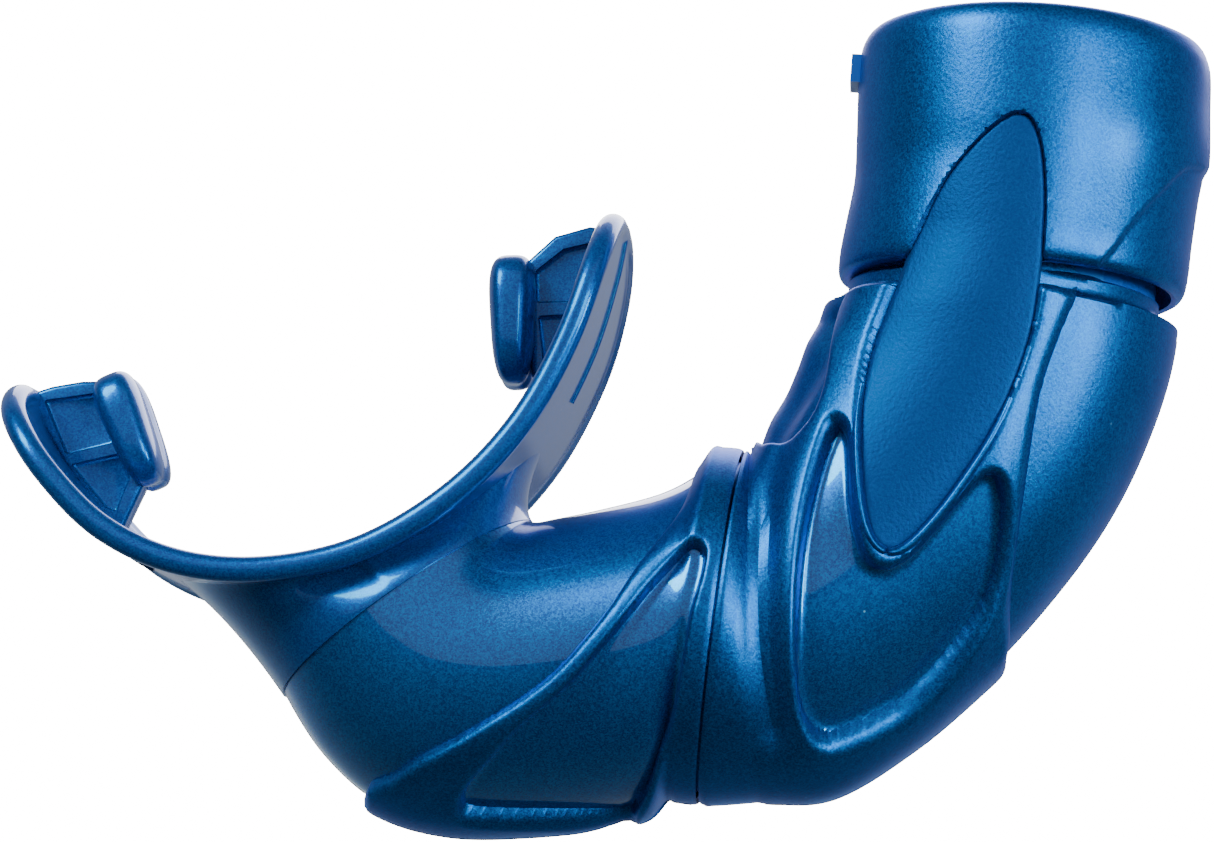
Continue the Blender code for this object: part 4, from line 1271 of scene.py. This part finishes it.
class SNORKEL_OT_pads(bpy.types.Operator):
    """Two-lobed bite pads along the wings' free edges"""

    bl_idname = "snorkel.pads"
    bl_label = "Bite Pads"

    HALF_THICK = 2.5
    HALF_WIDE = 6.2
    WAIST = 0.16  # width of the dip between a pad's lobes, as a share of its half width

    def execute(self, context):
        self.make("left", (-101.0, -20.2), (-94.8, -32.2))
        self.make("right", (-57.0, -3.4), (-55.6, -18.0))
        return {"FINISHED"}

    def make(self, word, top, bottom):
        deselect_all()
        bpy.ops.mesh.primitive_cube_add(size=2.0)
        piece = bpy.context.object
        piece.name = "pad_" + word
        smooth = piece.modifiers.new("Rounding", "SUBSURF")
        smooth.levels = smooth.render_levels = 5
        apply_modifier(piece, smooth)
        ball = points_of(piece)
        ball /= np.linalg.norm(ball, axis=1, keepdims=True)
        squared = np.sign(ball) * np.abs(ball) ** 0.7
        squared /= (np.abs(squared) ** 3.4).sum(axis=1, keepdims=True) ** (1 / 3.4)
        top, bottom = np.array(top), np.array(bottom)
        along = (top - bottom) / 2
        length = np.linalg.norm(along)
        along = along / length
        across = np.array((along[1], -along[0]))
        taper = 1.0 + 0.16 * squared[:, 2]
        waist = hump(squared[:, 1], self.WAIST)
        x = squared[:, 0] * self.HALF_THICK * taper * (1 - 0.2 * waist)
        y = squared[:, 1] * self.HALF_WIDE
        z = squared[:, 2] * length * (1 - 0.04 * waist)
        place = (top + bottom) / 2 + across * x[:, None] + along * z[:, None]
        place_points(piece, np.column_stack([place[:, 0], y, place[:, 1]]))
        finish_piece(piece, "soft_gloss", "mouthpiece", "soft", "bite_pad_" + word)


# ---------------------------------------------------------------- mould lines


def mould_line(name, points, radius, body):
    """A thin raised line along points in the middle plane."""
    curve = bpy.data.curves.new(name, "CURVE")
    curve.dimensions = "3D"
    curve.bevel_depth = radius
    curve.bevel_resolution = 2
    curve.use_fill_caps = True
    spline = curve.splines.new("POLY")
    spline.points.add(len(points) - 1)
    spline.points.foreach_set("co", np.column_stack([points * MM, np.ones(len(points))]).ravel())
    piece = bpy.data.objects.new(name, curve)
    bpy.context.scene.collection.objects.link(piece)
    deselect_all()
    piece.select_set(True)
    bpy.context.view_layer.objects.active = piece
    bpy.ops.object.convert(target="MESH")
    piece = bpy.context.object
    finish_piece(piece, "mould_line", body, "raw")


class SNORKEL_OT_mould_lines(bpy.types.Operator):
    """Thin raised lines that the mould's halves leave along the middle plane"""

    bl_idname = "snorkel.mould_lines"
    bl_label = "Mould Lines"

    BURIED = 0.7  # how much of its half thickness a line lies under the surface
    FROM_TIP = 2.0

    def execute(self, context):
        sizes = context.scene.snorkel_sizes
        radius, rise, edge = sizes.flash_radius, sizes.rib_rise / MM, sizes.rib_round / MM
        for word, rows, shape, sink, body in (
            ("elbow", bend_sections(3.0, 83.6, 160), elbow_rib_shape, RIB_SINK, "elbow"),
            ("bowl", mouth_sections(LAP_START + 0.6, 140), mouth_rib_shape, RIB_SINK / 2, "mouthpiece"),
        ):
            base, outward = on_sections(rows, np.zeros(len(rows)))
            top, share = shape(base, rise, edge)
            lift = np.maximum(-sink + (top + sink) * share, 0) - self.BURIED * radius / MM
            mould_line(word + "_mould_line", base + outward * lift[:, None], radius, body)

        left, right = distance_of(GUSSET_LEFT), distance_of(GUSSET_RIGHT)
        offset = sizes.flange_thick / MM / 2
        ends = FLANGE_LENGTH - self.FROM_TIP
        for word, first, last in (("left", self.FROM_TIP, left), ("right", right, ends)):
            steps = np.linspace(first, last, 60)
            line = on_flange(steps, np.zeros(60), offset)
            mould_line("flange_mould_line_" + word, line, radius, "mouthpiece")
        return {"FINISHED"}


# ---------------------------------------------------------------- stage


class SNORKEL_OT_stage(bpy.types.Operator):
    """Pale floor, white surroundings, soft lamps and the camera"""

    bl_idname = "snorkel.stage"
    bl_label = "Stage"

    TARGET = (-0.045, 0.0, -0.021)
    AZIMUTH, ELEVATION, ROLL = 5.0, -9.0, 5.0
    DISTANCE = 0.4
    LENS = 106.75
    FLOOR_HEIGHT = -0.1
    # name, place, width and height, power, colour
    LAMPS = (
        ("Key softbox", (-0.50, -0.46, 0.40), (0.26, 0.32), 5.5, (0.08, 0.85, 1.0)),
        ("Right strip", (0.50, -0.34, 0.0), (0.12, 0.18), 1.8, (0.25, 0.85, 1.0)),
        ("Front glow", (0.30, -0.50, 0.07), (0.22, 0.22), 1.9, (0.04, 0.78, 1.0)),
        ("Back light", (0.05, 0.6, 0.45), (0.8, 0.5), 6.0, (1.0, 1.0, 1.0)),
    )

    def execute(self, context):
        self.floor()
        self.world(context)
        for lamp in self.LAMPS:
            self.lamp(*lamp)
        self.camera(context)
        return {"FINISHED"}

    def floor(self):
        """Pale to the eye, and darker towards the front in what the paint reflects."""
        deselect_all()
        bpy.ops.mesh.primitive_plane_add(size=4.0, location=(0, 0, self.FLOOR_HEIGHT))
        floor = bpy.context.object
        floor.name = "floor"
        made, tree, shader = new_material("pale_floor")
        seen = node(tree, "ShaderNodeLightPath").outputs["Is Camera Ray"]
        place = node(tree, "ShaderNodeTexCoord").outputs["Object"]
        depth = node(tree, "ShaderNodeSeparateXYZ", Vector=place).outputs[1]
        behind = node(tree, "ShaderNodeMapRange", _1=-0.02, _2=0.2, _3=0.03, _4=0.5, Value=depth)
        mix = node(tree, "ShaderNodeMix", {"data_type": "RGBA"}, _0=seen)
        tree.links.new(behind.outputs[0], mix.inputs[6])
        mix.inputs[7].default_value = (0.82, 0.82, 0.82, 1)
        tree.links.new(mix.outputs[2], shader.inputs["Base Color"])
        tree.links.new(maths(tree, "MULTIPLY", seen, 0.6), shader.inputs["Emission Strength"])
        set_shader(shader, Emission_Color=(1, 1, 1, 1), Roughness=0.9)
        floor.data.materials.append(made)

    def world(self, context):
        """White for the eye, and a studio that is darker towards the front for the reflections."""
        world = bpy.data.worlds.new("Studio")
        world.use_nodes = True
        context.scene.world = world
        tree = world.node_tree
        tree.nodes.clear()
        direction = node(tree, "ShaderNodeTexCoord").outputs["Generated"]
        parts = node(tree, "ShaderNodeSeparateXYZ", Vector=direction)
        x, y, z = parts.outputs[0], parts.outputs[1], parts.outputs[2]
        panel = self.ramp(tree, y, -0.15, -0.35)
        for value, start, end in ((z, -0.12, -0.02), (z, 0.86, 0.74), (x, -0.85, -0.72), (x, 0.72, 0.5)):
            panel = maths(tree, "MULTIPLY", panel, self.ramp(tree, value, start, end))
        behind = maths(tree, "MULTIPLY", self.ramp(tree, y, -0.1, 0.5), 0.5)
        level = maths(tree, "ADD", maths(tree, "MULTIPLY", panel, 0.55), maths(tree, "ADD", behind, 0.02))
        lit = node(tree, "ShaderNodeBackground", Color=(0.74, 0.84, 1.0, 1), Strength=level)
        white = node(tree, "ShaderNodeBackground", Color=(1, 1, 1, 1), Strength=18.0)
        seen = node(tree, "ShaderNodeLightPath").outputs["Is Camera Ray"]
        mix = node(tree, "ShaderNodeMixShader", _0=seen, _1=lit.outputs[0], _2=white.outputs[0])
        out = node(tree, "ShaderNodeOutputWorld")
        tree.links.new(mix.outputs[0], out.inputs["Surface"])

    def ramp(self, tree, value, start, end):
        return node(tree, "ShaderNodeMapRange", _1=start, _2=end, _3=0.0, _4=1.0, Value=value).outputs[0]

    def lamp(self, name, place, size, power, colour):
        light = bpy.data.lights.new(name, "AREA")
        light.shape = "RECTANGLE"
        light.size, light.size_y = size
        light.energy = power
        light.color = colour
        lamp = bpy.data.objects.new(name, light)
        bpy.context.scene.collection.objects.link(lamp)
        lamp.location = place
        aim = Vector(self.TARGET) - Vector(place)
        lamp.rotation_euler = aim.to_track_quat("-Z", "Y").to_euler()

    def camera(self, context):
        """Camera at an azimuth, an elevation and a roll about the target."""
        data = bpy.data.cameras.new("Camera")
        camera = bpy.data.objects.new("Camera", data)
        context.scene.collection.objects.link(camera)
        context.scene.camera = camera
        turn, climb, roll = (math.radians(a) for a in (self.AZIMUTH, self.ELEVATION, self.ROLL))
        back = Vector((math.sin(turn) * math.cos(climb), -math.cos(turn) * math.cos(climb), math.sin(climb)))
        level = Vector((math.cos(turn), math.sin(turn), 0))
        upward = back.cross(level)
        right = level * math.cos(roll) + upward * math.sin(roll)
        up = upward * math.cos(roll) - level * math.sin(roll)
        axes = Matrix((right, up, back)).transposed().to_4x4()
        camera.matrix_world = Matrix.Translation(Vector(self.TARGET) + back * self.DISTANCE) @ axes
        data.sensor_width = 36.0
        data.lens = self.LENS
        data.clip_start, data.clip_end = 0.01, 20.0


# ---------------------------------------------------------------- panel and main


BUILDERS = (
    SNORKEL_OT_finishes, SNORKEL_OT_carried_parts, SNORKEL_OT_collar, SNORKEL_OT_elbow_tube,
    SNORKEL_OT_elbow_ribs, SNORKEL_OT_plates, SNORKEL_OT_beads, SNORKEL_OT_bowl, SNORKEL_OT_mouth_ribs,
    SNORKEL_OT_lip_flange, SNORKEL_OT_neck, SNORKEL_OT_wings, SNORKEL_OT_pads, SNORKEL_OT_mould_lines,
    SNORKEL_OT_stage,
)


class SNORKEL_PT_panel(bpy.types.Panel):
    """The builder's steps, in order"""

    bl_label = "Snorkel"
    bl_idname = "SNORKEL_PT_panel"
    bl_space_type = "VIEW_3D"
    bl_region_type = "UI"
    bl_category = "Snorkel"

    def draw(self, context):
        for owner in (context.scene.snorkel_sizes, context.scene.snorkel_colours):
            box = self.layout.box()
            for name in owner.__annotations__:
                box.prop(owner, name)
        for builder in BUILDERS:
            self.layout.operator(builder.bl_idname)


CLASSES = (SnorkelSizes, SnorkelColours, *BUILDERS, SNORKEL_PT_panel)


def register():
    for made in CLASSES:
        bpy.utils.register_class(made)
    bpy.types.Scene.snorkel_sizes = PointerProperty(type=SnorkelSizes)
    bpy.types.Scene.snorkel_colours = PointerProperty(type=SnorkelColours)


def unregister():
    del bpy.types.Scene.snorkel_colours
    del bpy.types.Scene.snorkel_sizes
    for made in reversed(CLASSES):
        bpy.utils.unregister_class(made)


def main():
    register()
    for builder in BUILDERS:
        step = getattr(bpy.ops.snorkel, builder.bl_idname.split(".")[1])
        if step() != {"FINISHED"}:
            raise RuntimeError(builder.bl_label + " didn't finish")


if __name__ == "__main__":
    main()
